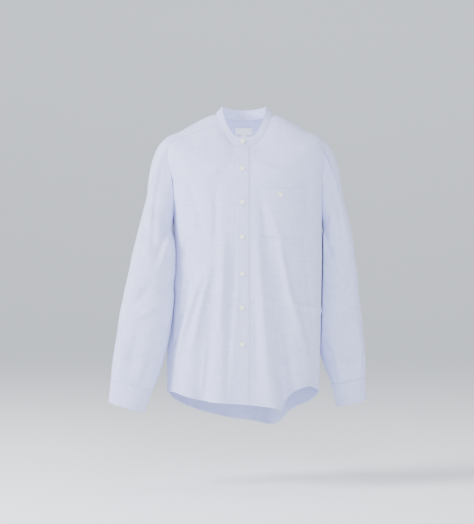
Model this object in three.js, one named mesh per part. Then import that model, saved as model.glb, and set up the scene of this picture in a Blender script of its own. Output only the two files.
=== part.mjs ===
import * as THREE from "three";

// A men's shirt with a stand collar, filled out with no wearer. Millimetres, +Z up, front faces -Y,
// the wearer's left is +X. The origin is the centre of the neck base, level with the shoulders' top.

const CLOTH = 1.2; // wall of one layer of cloth
const STIFF = 1.8; // wall of collar band and cuffs, two layers and a stiffener
const SEAM = 0.3; // gap between pieces that are sewn together
const OVER = 0.3; // gap under a piece that lies on another
const SPARE = 0.1; // more of it where two curved ends lap
const PATCH_OVER = 0.7; // gap under the pocket, whose points fall between its panel's
const LABEL_OVER = 0.9; // gap behind the labels, which hang from a curved yoke
const PLACKET_EDGE = 16; // from the centre front to the free edge
const PLACKET_FOLD = 14.5; // from the centre front to the placket's inner edge
const PLACKET_SHORT = 0.12; // how far its top is drawn down towards the next row
const BAND_HEIGHT = 25;
const BUTTON_RADIUS = 5.5;
const BUTTON_THICK = 2.4;
const BUTTON_SIDES = 12;
const RAD = Math.PI / 180;

// Rings of the body cloth from neckline to hem. half: half width, cx: middle, y and z at front, side and
// back, square: how square the ring is in plan, frontDrop and backDrop: how fast z leaves the side's.
const RINGS = [
  { half: 71, cx: 3, yFront: -70, ySide: 2, yBack: 60, zSide: 0, zFront: -86, zBack: -11,
    square: 2, frontDrop: 2.7, backDrop: 2 },
  { half: 97, cx: 3, yFront: -80, ySide: 3, yBack: 75, zSide: -9, zFront: -97, zBack: -24,
    square: 2, frontDrop: 2.5, backDrop: 3 },
  { half: 154, cx: 3, yFront: -94, ySide: 5, yBack: 96, zSide: -40, zFront: -117, zBack: -58,
    square: 2.1, frontDrop: 2.2, backDrop: 6 },
  { half: 205, cx: 3, yFront: -104, ySide: 6, yBack: 108, zSide: -74, zFront: -141, zBack: -104,
    square: 2.3, frontDrop: 2.2, backDrop: 10 },
  { half: 195, cx: 8, yFront: -111, ySide: 6, yBack: 113, zSide: -165, zFront: -197, zBack: -182,
    square: 2.35, frontDrop: 2.2, backDrop: 8 },
  { half: 186, cx: 12, yFront: -115, ySide: 5, yBack: 112, zSide: -262, zFront: -262, zBack: -262,
    square: 2.35, frontDrop: 2.2, backDrop: 6 },
  { half: 187, cx: 10, yFront: -114, ySide: 4, yBack: 108, zSide: -378, zFront: -378, zBack: -378,
    square: 2.3, frontDrop: 2.2, backDrop: 6 },
  { half: 189, cx: 6, yFront: -113, ySide: 3, yBack: 107, zSide: -495, zFront: -495, zBack: -495,
    square: 2.25, frontDrop: 2.2, backDrop: 6 },
  { half: 191, cx: 2, yFront: -112, ySide: 3, yBack: 108, zSide: -615, zFront: -615, zBack: -615,
    square: 2.2, frontDrop: 2.2, backDrop: 6 },
  { half: 190, cx: 0, yFront: -112, ySide: 3, yBack: 109, zSide: -735, zFront: -735, zBack: -735,
    square: 2.2, frontDrop: 2.2, backDrop: 6 },
];
const TIP = 2.8; // place of the shoulder tips and of the yoke's back seam
const PIT = 5; // ring of the armpits
const HEM = 9;
const HEM_LEVEL = RINGS[HEM].zSide;

// Height of the hem by direction, in degrees: 0 wearer's left side, 90 back, -90 front.
const HEM_HEIGHTS = [
  { angle: -180, z: -692 },
  { angle: -147, z: -692 },
  { angle: -120, z: -709 },
  { angle: -90, z: -717 },
  { angle: -70, z: -725 },
  { angle: -62, z: -731 },
  { angle: -57, z: -712 },
  { angle: -52, z: -691 },
  { angle: -45, z: -680 },
  { angle: -34, z: -675 },
  { angle: -14, z: -686 },
  { angle: 0, z: -692 },
  { angle: 35, z: -727 },
  { angle: 46, z: -737 },
  { angle: 55, z: -752 },
  { angle: 61, z: -773 },
  { angle: 67, z: -784 },
  { angle: 91, z: -773 },
  { angle: 126, z: -747 },
  { angle: 150, z: -722 },
  { angle: 180, z: -692 },
];

// Largest folds. They start at zTop and run straight to the hem, where they are deepest.
// x: where the fold's middle lies at its top and at the hem, out: how far it stands out, or in if below 0.
const FOLDS = [
  { face: "front", xTop: 42, xHem: 112, zTop: -200, width: 19, out: -18 },
  { face: "front", xTop: 28, xHem: 72, zTop: -250, width: 22, out: 11 },
  { face: "front", xTop: 70, xHem: 160, zTop: -205, width: 26, out: 8 },
  { face: "front", xTop: -66, xHem: -106, zTop: -330, width: 19, out: -13 },
  { face: "front", xTop: -38, xHem: -60, zTop: -240, width: 24, out: 8 },
  { face: "front", xTop: -90, xHem: -150, zTop: -340, width: 24, out: 8 },
  { face: "back", xTop: -92, xHem: -128, zTop: -240, width: 22, out: -14 },
  { face: "back", xTop: -56, xHem: -80, zTop: -260, width: 26, out: 9 },
  { face: "back", xTop: -18, xHem: -30, zTop: -330, width: 22, out: -11 },
  { face: "back", xTop: 14, xHem: 20, zTop: -300, width: 27, out: 7 },
  { face: "back", xTop: 56, xHem: 74, zTop: -260, width: 22, out: -14 },
  { face: "back", xTop: 92, xHem: 124, zTop: -290, width: 26, out: 9 },
];
const FOLD_BOW = 1.25; // how slowly a fold deepens

// Angle from the side to the armhole's edge, at its top and half way down, on each side and face.
const ARMHOLE_TOP = 24;
const ARMHOLES = {
  left: { front: 15, back: 28 },
  right: { front: 22, back: 23 },
};
const YOKE_AT_NECK = 38; // angle from the side to the yoke's front seam at the neck

// Sleeve sections from the armpit to the cuff, as seen from the front. out and in: the section's ends,
// away from the body and beside it, y: its middle, deep: half its depth.
const SLEEVES = {
  right: [
    { xOut: 239, zOut: -205, xIn: 174, zIn: -296, y: -12, deep: 50 },
    { xOut: 260, zOut: -290, xIn: 166, zIn: -332, y: -31, deep: 54 },
    { xOut: 282, zOut: -385, xIn: 166, zIn: -408, y: -46, deep: 53 },
    { xOut: 301, zOut: -475, xIn: 173, zIn: -492, y: -48, deep: 49 },
    { xOut: 315, zOut: -565, xIn: 187, zIn: -582, y: -45, deep: 44 },
    { xOut: 324, zOut: -625, xIn: 208, zIn: -648, y: -41, deep: 39 },
    { xOut: 327, zOut: -661, xIn: 224, zIn: -687, y: -38, deep: 34 },
  ],
  left: [
    { xOut: 251, zOut: -205, xIn: 200, zIn: -296, y: 17, deep: 54 },
    { xOut: 274, zOut: -290, xIn: 188, zIn: -330, y: 32, deep: 57 },
    { xOut: 288, zOut: -385, xIn: 183, zIn: -402, y: 44, deep: 56 },
    { xOut: 297, zOut: -475, xIn: 183, zIn: -486, y: 46, deep: 51 },
    { xOut: 306, zOut: -565, xIn: 188, zIn: -572, y: 43, deep: 45 },
    { xOut: 310, zOut: -625, xIn: 206, zIn: -634, y: 38, deep: 40 },
    { xOut: 309, zOut: -661, xIn: 222, zIn: -675, y: 35, deep: 35 },
  ],
};
const CUFFS = {
  right: { xOut: 333, zOut: -716, xIn: 244, zIn: -743, y: -36, deep: 33 },
  left: { xOut: 311, zOut: -717, xIn: 235, zIn: -733, y: 33, deep: 34 },
};
const SLEEVE_SQUARE = 2.2;
const SLEEVE_SEAM = 0.21; // gap between a sleeve and its armhole
const PIT_CLEAR = 0.2; // share of that clearance just under the armpit
const PIT_RUN = 90; // over this height it grows to the whole
const SLEEVE_CLEAR = 4; // between sleeve and body where the sleeve hangs beside it

// Folds across the sleeves. at: section number, turn: direction round the sleeve in degrees, 0 away from
// the body and 90 front, climb: how far the fold rises with the turn, in sections for a full turn.
const SLEEVE_FOLDS = [
  { at: 1.2, turn: 95, climb: 2.2, width: 0.22, reach: 60, out: -4 },
  { at: 2.3, turn: 150, climb: -2.0, width: 0.24, reach: 70, out: -4.5 },
  { at: 3.1, turn: 60, climb: 1.8, width: 0.26, reach: 60, out: -3.5 },
  { at: 4.4, turn: 120, climb: -1.6, width: 0.24, reach: 65, out: -3.5 },
  { at: 1.9, turn: -100, climb: -2.0, width: 0.24, reach: 70, out: -4.5 },
  { at: 3.4, turn: -70, climb: 1.8, width: 0.26, reach: 60, out: -4 },
];

// Pocket on the left front, as seen from the front.
const POCKET = { xLeft: 37, xRight: 150, zTop: -190, zSide: -304, zPoint: -316, columns: 8, rows: 9 };

const FRONT_BUTTONS = [-143, -225, -309, -398, -481, -570];
const FRONT_BUTTON_X = -2.5;
const COLLAR_BUTTON_X = -1.5;
const POCKET_BUTTON = { x: 90, z: -206 };
const NECK_LABEL = { xLeft: -19, xRight: 24, zTop: -27, zBottom: -44, wall: 1 };
const SIZE_TAB = { xLeft: -5, xRight: 9, zTop: -44.5, zBottom: -51, wall: 1 };

const COLOURS = { cloth: 0xc9d0e6, button: 0xefeade, label: 0xf4f4f2 };

const lerp = (a, b, t) => a + (b - a) * t;
const clamp01 = (t) => Math.min(1, Math.max(0, t));
const smooth = (lo, hi, t) => {
  const s = clamp01((t - lo) / (hi - lo));
  return s * s * (3 - 2 * s);
};
const signedPower = (base, power) => Math.sign(base) * Math.abs(base) ** power;
const steps = (from, to, count) => Array.from({ length: count + 1 }, (_, i) => lerp(from, to, i / count));
const vec = (x, y, z) => new THREE.Vector3(x, y, z);

// One column of a table, as a smooth curve through its rows.
function along(rows, key, t) {
  const i = Math.min(Math.max(Math.floor(t), 0), rows.length - 2);
  const f = t - i;
  const at = (k) => rows[Math.min(Math.max(k, 0), rows.length - 1)][key];
  const [a, b, c, d] = [at(i - 1), at(i), at(i + 1), at(i + 2)];
  return b + 0.5 * f * (c - a + f * (2 * a - 5 * b + 4 * c - d + f * (3 * (b - c) + d - a)));
}

// Height of the hem in a direction, smooth between the table's rows and flat at its two ends.
function hemHeight(angle) {
  const turn = ((((angle / RAD + 180) % 360) + 360) % 360) - 180;
  const i = Math.max(1, HEM_HEIGHTS.findIndex((row) => row.angle >= turn));
  const slope = (k) => {
    if (k <= 0 || k >= HEM_HEIGHTS.length - 1) return 0;
    const [before, after] = [HEM_HEIGHTS[k - 1], HEM_HEIGHTS[k + 1]];
    return (after.z - before.z) / (after.angle - before.angle);
  };
  const [a, b] = [HEM_HEIGHTS[i - 1], HEM_HEIGHTS[i]];
  const span = b.angle - a.angle;
  const t = (turn - a.angle) / span;
  const rise = t * t * (3 - 2 * t);
  return lerp(a.z, b.z, rise) + span * t * (1 - t) * ((1 - t) * slope(i - 1) - t * slope(i));
}

// Direction at which the body's ring v has this x, on its front or back.
function angleAtX(x, v, face = "front") {
  const ring = (key) => along(RINGS, key, v);
  const across = Math.min(1, Math.max(-1, (x - ring("cx")) / ring("half")));
  const angle = Math.acos(signedPower(across, ring("square") / 2));
  return face === "front" ? -angle : angle;
}

// How far the folds move the body's cloth out at a direction and height.
function foldOffset(angle, z) {
  const meanRadius = 155;
  let out = 0;
  for (const fold of FOLDS) {
    const run = (z - fold.zTop) / (HEM_LEVEL - fold.zTop);
    if (run <= 0) continue;
    const middle = angleAtX(lerp(fold.xTop, fold.xHem, run), HEM, fold.face);
    const turn = Math.atan2(Math.sin(angle - middle), Math.cos(angle - middle));
    const beside = (turn * meanRadius) / (fold.width * (0.75 + 0.25 * run));
    out += fold.out * run ** FOLD_BOW * Math.exp(-beside * beside);
  }
  return out;
}

// Point of the body cloth's outer face. angle: direction, v: ring number, 0 at the neck and HEM at the hem.
function bodyPoint(angle, v) {
  const ring = (key) => along(RINGS, key, v);
  const [c, s] = [Math.cos(angle), Math.sin(angle)];
  const power = 2 / ring("square");
  const isFront = s < 0;
  const depth = isFront ? ring("ySide") - ring("yFront") : ring("yBack") - ring("ySide");
  const across = signedPower(c, power);
  const forward = signedPower(s, power);
  const drop = 1 - Math.abs(c) ** ring(isFront ? "frontDrop" : "backDrop");
  const hemShare = clamp01((v - PIT) / (HEM - PIT)) ** 1.4;
  const z = lerp(ring("zSide"), ring(isFront ? "zFront" : "zBack"), drop)
    + hemShare * (hemHeight(angle) - HEM_LEVEL);
  const facing = vec(across / ring("half"), forward / depth, 0).normalize();
  const point = vec(ring("cx") + ring("half") * across, ring("ySide") + depth * forward, z);
  return point.addScaledVector(facing, foldOffset(angle, z));
}

// Outward direction of the body cloth at the same place.
function bodyNormal(angle, v) {
  const step = 1e-3;
  const down = bodyPoint(angle, Math.min(HEM, v + step)).sub(bodyPoint(angle, Math.max(0, v - step)));
  const round = bodyPoint(angle + step, v).sub(bodyPoint(angle - step, v));
  return down.cross(round).normalize();
}

// Direction of the armhole's edge or the side seam at ring v. side: "left" or "right", face: which panel.
function panelEdge(side, face, v) {
  const run = clamp01((v - TIP) / (PIT - TIP));
  const open = lerp(ARMHOLE_TOP, ARMHOLES[side][face], smooth(0, 0.4, run));
  const closing = Math.max(0, (run - 0.4) / 0.6);
  const fromSide = open * RAD * (1 - closing ** 2.4) ** (1 / 2.4);
  const turn = face === "front" ? -fromSide : fromSide;
  return side === "left" ? turn : -Math.PI - turn;
}

const yokeSeam = (v) => lerp(ARMHOLE_TOP, YOKE_AT_NECK, (1 - v / TIP) ** 1.5) * RAD;

const YOKE_ROWS = steps(0, TIP, 6);
const ARMHOLE_ROWS = [3.1, 3.4, 3.7, 4.05, 4.35, 4.6, 4.78, 4.9, 4.972];
const BODY_ROWS = [...ARMHOLE_ROWS, ...steps(PIT, HEM, 14)];
const FRONT_ROWS = [...YOKE_ROWS, ...BODY_ROWS];
const BACK_ROWS = [TIP, ...BODY_ROWS];

// Columns of a front, as distances from the centre front over the chest, then even steps to its edge.
const FRONT_COLUMNS = [-PLACKET_EDGE, -1, PLACKET_FOLD, 36, 59, 80, 97, 111, 130, 151];
const FRONT_EDGE_STEPS = 5;
const BACK_STEPS = 28;
const YOKE_EDGE_STEPS = 6;

// Directions of a front's columns at ring v.
function frontAngles(side, v) {
  const sign = side === "left" ? 1 : -1;
  const edge = v < TIP ? (side === "left" ? -yokeSeam(v) : -Math.PI + yokeSeam(v)) : panelEdge(side, "front", v);
  const edgeX = Math.abs(bodyPoint(edge, Math.min(v, TIP)).x);
  const fullX = Math.abs(bodyPoint(panelEdge(side, "front", TIP), TIP).x);
  const squeeze = v < TIP ? (edgeX - PLACKET_FOLD) / (fullX - PLACKET_FOLD) : 1;
  const angles = FRONT_COLUMNS.map((x) => {
    const moved = x > PLACKET_FOLD ? PLACKET_FOLD + (x - PLACKET_FOLD) * squeeze : x;
    return angleAtX(sign * moved, v);
  });
  return [...angles, ...steps(angles.at(-1), edge, FRONT_EDGE_STEPS).slice(1)];
}

function backAngles(v) {
  return steps(panelEdge("left", "back", v), panelEdge("right", "back", v) + 2 * Math.PI, BACK_STEPS);
}

// The yoke's columns go over both shoulders and round the back of the neck.
function yokeAngles(v) {
  const edge = ARMHOLE_TOP * RAD;
  const left = steps(-yokeSeam(v), edge, YOKE_EDGE_STEPS);
  const back = steps(edge, Math.PI - edge, BACK_STEPS).slice(1, -1);
  const right = steps(Math.PI - edge, Math.PI + yokeSeam(v), YOKE_EDGE_STEPS);
  return [...left, ...back, ...right];
}

// A panel's points and normals as rows of columns. sink(angle, v) moves the cloth in where it lies under.
function panel(rows, anglesAt, sink = () => 0) {
  const normals = rows.map((v) => anglesAt(v).map((angle) => bodyNormal(angle, v)));
  const points = rows.map((v, r) => anglesAt(v).map((angle, c) =>
    bodyPoint(angle, v).addScaledVector(normals[r][c], -sink(angle, v))));
  return { points, normals };
}

// Draws a sheet's edges back by half a seam's gap. Each edge is named: top, bottom, start or end.
function drawBack(points, edges) {
  const half = SEAM / 2;
  const shift = (edge, next) => edge.addScaledVector(next.clone().sub(edge).normalize(), half);
  const last = points.length - 1;
  if (edges.includes("start")) points.forEach((row) => shift(row[0], row[1]));
  if (edges.includes("end")) points.forEach((row) => shift(row.at(-1), row.at(-2)));
  if (edges.includes("top")) points[0].forEach((point, c) => shift(point, points[1][c]));
  if (edges.includes("bottom")) points[last].forEach((point, c) => shift(point, points[last - 1][c]));
}

// Closed cloth wall between an outer and an inner grid of points. A wrapped wall is a tube.
function wall(outer, inner, wrapped = false) {
  const [rows, columns] = [outer.length, outer[0].length];
  const positions = [...outer.flat(), ...inner.flat()].flatMap((p) => [p.x, p.y, p.z]);
  const outside = (r, c) => r * columns + (c % columns);
  const inside = (r, c) => outside(r, c) + rows * columns;
  const index = [];
  const quad = (a, b, c, d) => index.push(a, b, c, a, c, d);
  const spans = wrapped ? columns : columns - 1;
  for (let r = 0; r < rows - 1; r++)
    for (let c = 0; c < spans; c++) {
      quad(outside(r, c), outside(r, c + 1), outside(r + 1, c + 1), outside(r + 1, c));
      quad(inside(r, c), inside(r + 1, c), inside(r + 1, c + 1), inside(r, c + 1));
    }
  for (let c = 0; c < spans; c++) {
    quad(outside(0, c), inside(0, c), inside(0, c + 1), outside(0, c + 1));
    quad(outside(rows - 1, c), outside(rows - 1, c + 1), inside(rows - 1, c + 1), inside(rows - 1, c));
  }
  if (!wrapped)
    for (let r = 0; r < rows - 1; r++) {
      quad(outside(r, 0), outside(r + 1, 0), inside(r + 1, 0), inside(r, 0));
      quad(outside(r, spans), inside(r, spans), inside(r + 1, spans), outside(r + 1, spans));
    }
  return closedGeometry(positions, index);
}

// Indexed geometry with its faces turned out.
function closedGeometry(positions, index) {
  const at = (i) => vec(positions[3 * i], positions[3 * i + 1], positions[3 * i + 2]);
  let volume = 0;
  for (let i = 0; i < index.length; i += 3)
    volume += at(index[i]).dot(at(index[i + 1]).cross(at(index[i + 2])));
  const facing = volume > 0 ? index : index.slice().reverse();
  const geometry = new THREE.BufferGeometry();
  geometry.setAttribute("position", new THREE.Float32BufferAttribute(positions, 3));
  geometry.setIndex(facing);
  geometry.computeVertexNormals();
  return geometry;
}

const moved = (points, normals, distance) =>
  points.map((row, r) => row.map((p, c) => p.clone().addScaledVector(normals[r][c], distance)));

const clothWall = ({ points, normals }, thick = CLOTH) => wall(points, moved(points, normals, -thick));

const group = new THREE.Group();

function add(name, geometry, colour, roughness = 0.9) {
  const material = new THREE.MeshStandardMaterial({ color: colour, roughness, metalness: 0 });
  const mesh = new THREE.Mesh(geometry, material);
  mesh.name = name;
  group.add(mesh);
  return mesh;
}

// Fronts, back and yoke. The right front runs under the left one at the centre.
const UNDERLAP = CLOTH + OVER + SPARE;
function sinkUnder(angle, v) {
  const x = bodyPoint(angle, v).x;
  return UNDERLAP * smooth(-48, -22, x);
}
const frontLeft = panel(FRONT_ROWS, (v) => frontAngles("left", v));
const frontRight = panel(FRONT_ROWS, (v) => frontAngles("right", v), sinkUnder);
const back = panel(BACK_ROWS, backAngles);
const yoke = panel(YOKE_ROWS, yokeAngles);
drawBack(frontLeft.points, ["top", "end"]);
drawBack(frontRight.points, ["top", "end"]);
drawBack(back.points, ["top", "start", "end"]);
drawBack(yoke.points, ["top", "bottom", "start", "end"]);
add("front_left", clothWall(frontLeft), COLOURS.cloth);
add("front_right", clothWall(frontRight), COLOURS.cloth);
add("back", clothWall(back), COLOURS.cloth);
add("yoke", clothWall(yoke), COLOURS.cloth);

// Placket: the left front's first three columns, moved out. Its top stops just under the collar band.
const placketPoints = frontLeft.points.map((row) => row.slice(0, 3));
const placketNormals = frontLeft.normals.map((row) => row.slice(0, 3));
placketPoints[0].forEach((point, c) => point.lerp(placketPoints[1][c], PLACKET_SHORT));
add(
  "placket",
  wall(moved(placketPoints, placketNormals, OVER + CLOTH), moved(placketPoints, placketNormals, OVER)),
  COLOURS.cloth,
);

// Ring number at which the body's front or back reaches height z at this x.
function ringAt(x, z, face) {
  let [lo, hi] = [0, HEM];
  for (let i = 0; i < 40; i++) {
    const mid = (lo + hi) / 2;
    if (bodyPoint(angleAtX(x, mid, face), mid).z > z) lo = mid;
    else hi = mid;
  }
  return (lo + hi) / 2;
}

// A flat patch given by x and z, laid on the body's front or back between two distances from its face.
function patch(face, grid, near, far) {
  const places = grid.map((row) => row.map(({ x, z }) => {
    const v = ringAt(x, z, face);
    const angle = angleAtX(x, v, face);
    return { point: bodyPoint(angle, v), normal: bodyNormal(angle, v) };
  }));
  const at = (distance) =>
    places.map((row) => row.map(({ point, normal }) => point.clone().addScaledVector(normal, distance)));
  return wall(at(far), at(near));
}

// Chest pocket, its lower edge coming to a blunt point in the middle.
const pocketGrid = steps(0, 1, POCKET.rows).map((down) =>
  steps(0, 1, POCKET.columns).map((across) => {
    const bottom = lerp(POCKET.zPoint, POCKET.zSide, Math.abs(2 * across - 1));
    return { x: lerp(POCKET.xLeft, POCKET.xRight, across), z: lerp(POCKET.zTop, bottom, down) };
  }));
add("chest_pocket", patch("front", pocketGrid, PATCH_OVER, PATCH_OVER + CLOTH), COLOURS.cloth);

// Labels sewn to the inside of the yoke, both bare.
for (const [name, label] of [["neck_label", NECK_LABEL], ["size_tab", SIZE_TAB]]) {
  const grid = steps(label.zTop, label.zBottom, 2).map((z) =>
    steps(label.xLeft, label.xRight, 4).map((x) => ({ x, z })));
  const face = -(CLOTH + LABEL_OVER);
  add(name, patch("back", grid, face - label.wall, face), COLOURS.label, 0.7);
}

// Collar band. It stands on the neckline, leans in, and its left end laps over the right one.
const LEAN = { side: 0.62, front: 0.42, back: 0.16 };
const BAND = { underX: 12, overX: -25, rows: 3, corner: 9 };
const BAND_SINK = STIFF + OVER + SPARE;

function bandFrame(angle) {
  const step = 1e-3;
  const along = bodyPoint(angle + step, 0).sub(bodyPoint(angle - step, 0)).normalize();
  const [c, s] = [Math.cos(angle), Math.sin(angle)];
  const lean = lerp(s < 0 ? LEAN.front : LEAN.back, LEAN.side, c * c);
  const inward = vec(-c, -s, 0).multiplyScalar(lean);
  const up = inward.setZ(Math.sqrt(1 - lean * lean));
  return { base: bodyPoint(angle, 0), up, out: along.clone().cross(up).normalize() };
}

// The band's own line is counted as an angle that falls from the under end to the over end.
const bandStart = angleAtX(BAND.underX, 0);
const bandEnd = angleAtX(BAND.overX, 0) - 2 * Math.PI;

// Its columns are those of the pieces below it, so that their edges run side by side.
function bandTurns() {
  const right = frontAngles("right", 0).filter((angle) => angle < bandStart);
  const over = yokeAngles(0).map((angle) => angle - 2 * Math.PI).toReversed().slice(1);
  const left = frontAngles("left", 0).map((angle) => angle - 2 * Math.PI).toReversed().slice(1);
  return [bandStart, ...right, ...over, ...left, bandEnd];
}
function bandPoint(turn, high, out) {
  const { base, up, out: away } = bandFrame(turn);
  const fromUnder = Math.abs(turn - bandStart) / RAD;
  const sink = BAND_SINK * (1 - smooth(32, 62, fromUnder));
  const toEnd = Math.min(Math.abs(turn - bandStart), Math.abs(turn - bandEnd)) * RINGS[0].half;
  const short = BAND.corner - Math.min(BAND.corner, toEnd);
  const cut = BAND.corner - Math.sqrt(BAND.corner ** 2 - short ** 2);
  const rise = SEAM / 2 + (BAND_HEIGHT - cut) * high;
  return base.addScaledVector(up, rise).addScaledVector(away, out - sink);
}
const bandGrid = (out) =>
  steps(0, 1, BAND.rows).map((high) =>
    bandTurns().map((turn) => bandPoint(turn, high, out)));
const BAND_PROUD = (STIFF - CLOTH) / 2; // how far the band stands out from the cloth below it
add("collar_band", wall(bandGrid(BAND_PROUD), bandGrid(BAND_PROUD - STIFF)), COLOURS.cloth);

// Section k of a sleeve, as its middle, its half width vector and its half depth.
function sectionAt(side, rows, t) {
  const sign = side === "left" ? 1 : -1;
  const value = (key) => along(rows, key, t);
  const outer = vec(sign * value("xOut"), value("y"), value("zOut"));
  const inner = vec(sign * value("xIn"), value("y"), value("zIn"));
  return {
    middle: outer.clone().add(inner).multiplyScalar(0.5),
    wide: outer.clone().sub(inner).multiplyScalar(0.5),
    deep: value("deep"),
  };
}

// Point of a section. turn: 0 away from the body, 90 degrees in front. grow moves it out.
function sectionPoint({ middle, wide, deep }, turn, grow = 0) {
  const power = 2 / SLEEVE_SQUARE;
  const across = signedPower(Math.cos(turn), power) * (1 + grow / wide.length());
  const forward = signedPower(Math.sin(turn), power) * (deep + grow);
  return middle.clone().addScaledVector(wide, across).add(vec(0, -forward, 0));
}

// Moves a sleeve's point out from the body's side until it is clear of the body by this much, and by
// less just under the armpit, where both are sewn together.
function keepClear(point, fullClear) {
  const [top, span] = [RINGS[PIT].zSide, RINGS[HEM].zSide - RINGS[PIT].zSide];
  if (point.z > top + PIT_REACH) return point;
  const clear = fullClear * lerp(PIT_CLEAR, 1, smooth(0, PIT_RUN, top - point.z));
  const v = PIT + (HEM - PIT) * clamp01((point.z - top) / span);
  const ring = (key) => along(RINGS, key, v);
  const isFront = point.y < ring("ySide");
  const depth = (isFront ? ring("ySide") - ring("yFront") : ring("yBack") - ring("ySide")) + clear;
  const share = Math.min(1, Math.abs(point.y - ring("ySide")) / depth);
  const reach = (1 - share ** ring("square")) ** (1 / ring("square")) * (ring("half") + clear);
  const sign = Math.sign(point.x);
  const limit = sign * ring("cx") + reach;
  if (sign * point.x < limit) point.x = sign * limit;
  return point;
}

function sleeveFoldOffset(t, turn) {
  let out = 0;
  for (const fold of SLEEVE_FOLDS) {
    const round = Math.atan2(Math.sin(turn - fold.turn * RAD), Math.cos(turn - fold.turn * RAD));
    const across = (t - fold.at - (fold.climb * round) / (2 * Math.PI)) / fold.width;
    const reach = round / (fold.reach * RAD);
    out += fold.out * Math.exp(-across * across - reach * reach);
  }
  return out;
}

// The armhole's edge as a loop: armpit, up the front, over the yoke's edge, down the back.
function armhole(side) {
  const place = (face, v) => ({ angle: panelEdge(side, face, v), v });
  const overTop = steps(-ARMHOLE_TOP, ARMHOLE_TOP, YOKE_EDGE_STEPS).slice(1, -1).map((degrees) => ({
    angle: side === "left" ? degrees * RAD : -Math.PI - degrees * RAD,
    v: TIP,
  }));
  const places = [
    { angle: panelEdge(side, "front", PIT), v: PIT },
    ...ARMHOLE_ROWS.toReversed().map((v) => place("front", v)),
    place("front", TIP),
    ...overTop,
    place("back", TIP),
    ...ARMHOLE_ROWS.map((v) => place("back", v)),
  ];
  const points = places.map(({ angle, v }) => bodyPoint(angle, v));
  const normals = places.map(({ angle, v }) => bodyNormal(angle, v));
  return { points, normals, top: ARMHOLE_ROWS.length + 1 + YOKE_EDGE_STEPS / 2 };
}

// Direction round the sleeve of each point of the armhole: 180 at the armpit, 0 at the shoulder.
function armholeTurns({ points, top }) {
  const count = points.length;
  const reached = [0];
  for (let i = 0; i < count; i++) reached.push(reached[i] + points[i].distanceTo(points[(i + 1) % count]));
  const [toTop, whole] = [reached[top], reached[count]];
  return points.map((_, i) =>
    Math.PI * (i <= top ? 1 - reached[i] / toTop : -(reached[i] - toTop) / (whole - toTop)));
}

const CAP_REACH = 46; // how far the cap runs on over the shoulder before it turns down
const SIDE_REACH = 36; // how far half way down the armhole
const PIT_REACH = 4; // and at the armpit
const PIT_LIFT = 150 * RAD; // how far the sleeve turns back from the body's cloth at the armpit
const CAP_SLOPE = 37 * RAD; // how steeply the cap leaves the shoulder
const CAP_HALF = 75 * RAD; // over this turn from the top its slope goes over into the side's
const CAP_AIM = 0.8; // how straight the cap's sides head for the sleeve, against the cloth's own way
const CAP_STEPS = [0, 0.1, 0.22, 0.36, 0.52, 0.7, 0.86];
const TUBE_STEPS = steps(0, SLEEVES.left.length - 1, 13);

// Sleeve points: a cap that leaves the armhole along the body's cloth and turns down, then the sections.
function sleeveGrid(side) {
  const hole = armhole(side);
  const turns = armholeTurns(hole);
  const count = hole.points.length;
  const sign = side === "left" ? 1 : -1;
  const alongHole = hole.points.map((_, i) =>
    hole.points[(i + 1) % count].clone().sub(hole.points[(i + count - 1) % count]).normalize());
  const leaving = hole.normals.map((normal, i) => normal.clone().cross(alongHole[i]));
  const handed = Math.sign(leaving[hole.top].x) === sign ? 1 : -1;
  const first = sectionAt(side, SLEEVES[side], 0);
  const capLeave = vec(sign * Math.cos(CAP_SLOPE), 0, -Math.sin(CAP_SLOPE));
  const cap = CAP_STEPS.map((s) =>
    hole.points.map((point, i) => {
      const under = ((1 - Math.cos(turns[i])) / 2) ** 1.5;
      const lift = PIT_LIFT * under;
      const leave = leaving[i].clone().multiplyScalar(handed * Math.cos(lift))
        .addScaledVector(hole.normals[i], Math.sin(lift));
      const end = keepClear(sectionPoint(first, turns[i]), SLEEVE_CLEAR);
      const straight = end.clone().sub(point).normalize();
      const overTop = 1 - smooth(0, CAP_HALF, Math.abs(turns[i]));
      leave.lerp(straight, CAP_AIM * (1 - under)).lerp(capLeave, overTop).normalize();
      const start = point.clone().addScaledVector(leave, SLEEVE_SEAM);
      const reach = lerp(lerp(SIDE_REACH, CAP_REACH, overTop), PIT_REACH, under);
      const turning = point.clone().addScaledVector(leave, reach);
      return start.multiplyScalar((1 - s) ** 2)
        .addScaledVector(turning, 2 * s * (1 - s))
        .addScaledVector(end, s * s);
    }));
  const tube = TUBE_STEPS.map((t) => {
    const section = sectionAt(side, SLEEVES[side], t);
    return turns.map((turn) => keepClear(sectionPoint(section, turn, sleeveFoldOffset(t, turn)), SLEEVE_CLEAR));
  });
  return { points: [...cap, ...tube], turns };
}

// Outward normals of a tube's points, from their neighbours.
function tubeNormals(points, facing) {
  const count = points[0].length;
  return points.map((row, r) => row.map((point, c) => {
    const down = points[Math.min(r + 1, points.length - 1)][c].clone().sub(points[Math.max(r - 1, 0)][c]);
    const round = row[(c + 1) % count].clone().sub(row[(c + count - 1) % count]);
    return down.cross(round).normalize().multiplyScalar(facing);
  }));
}

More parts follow.
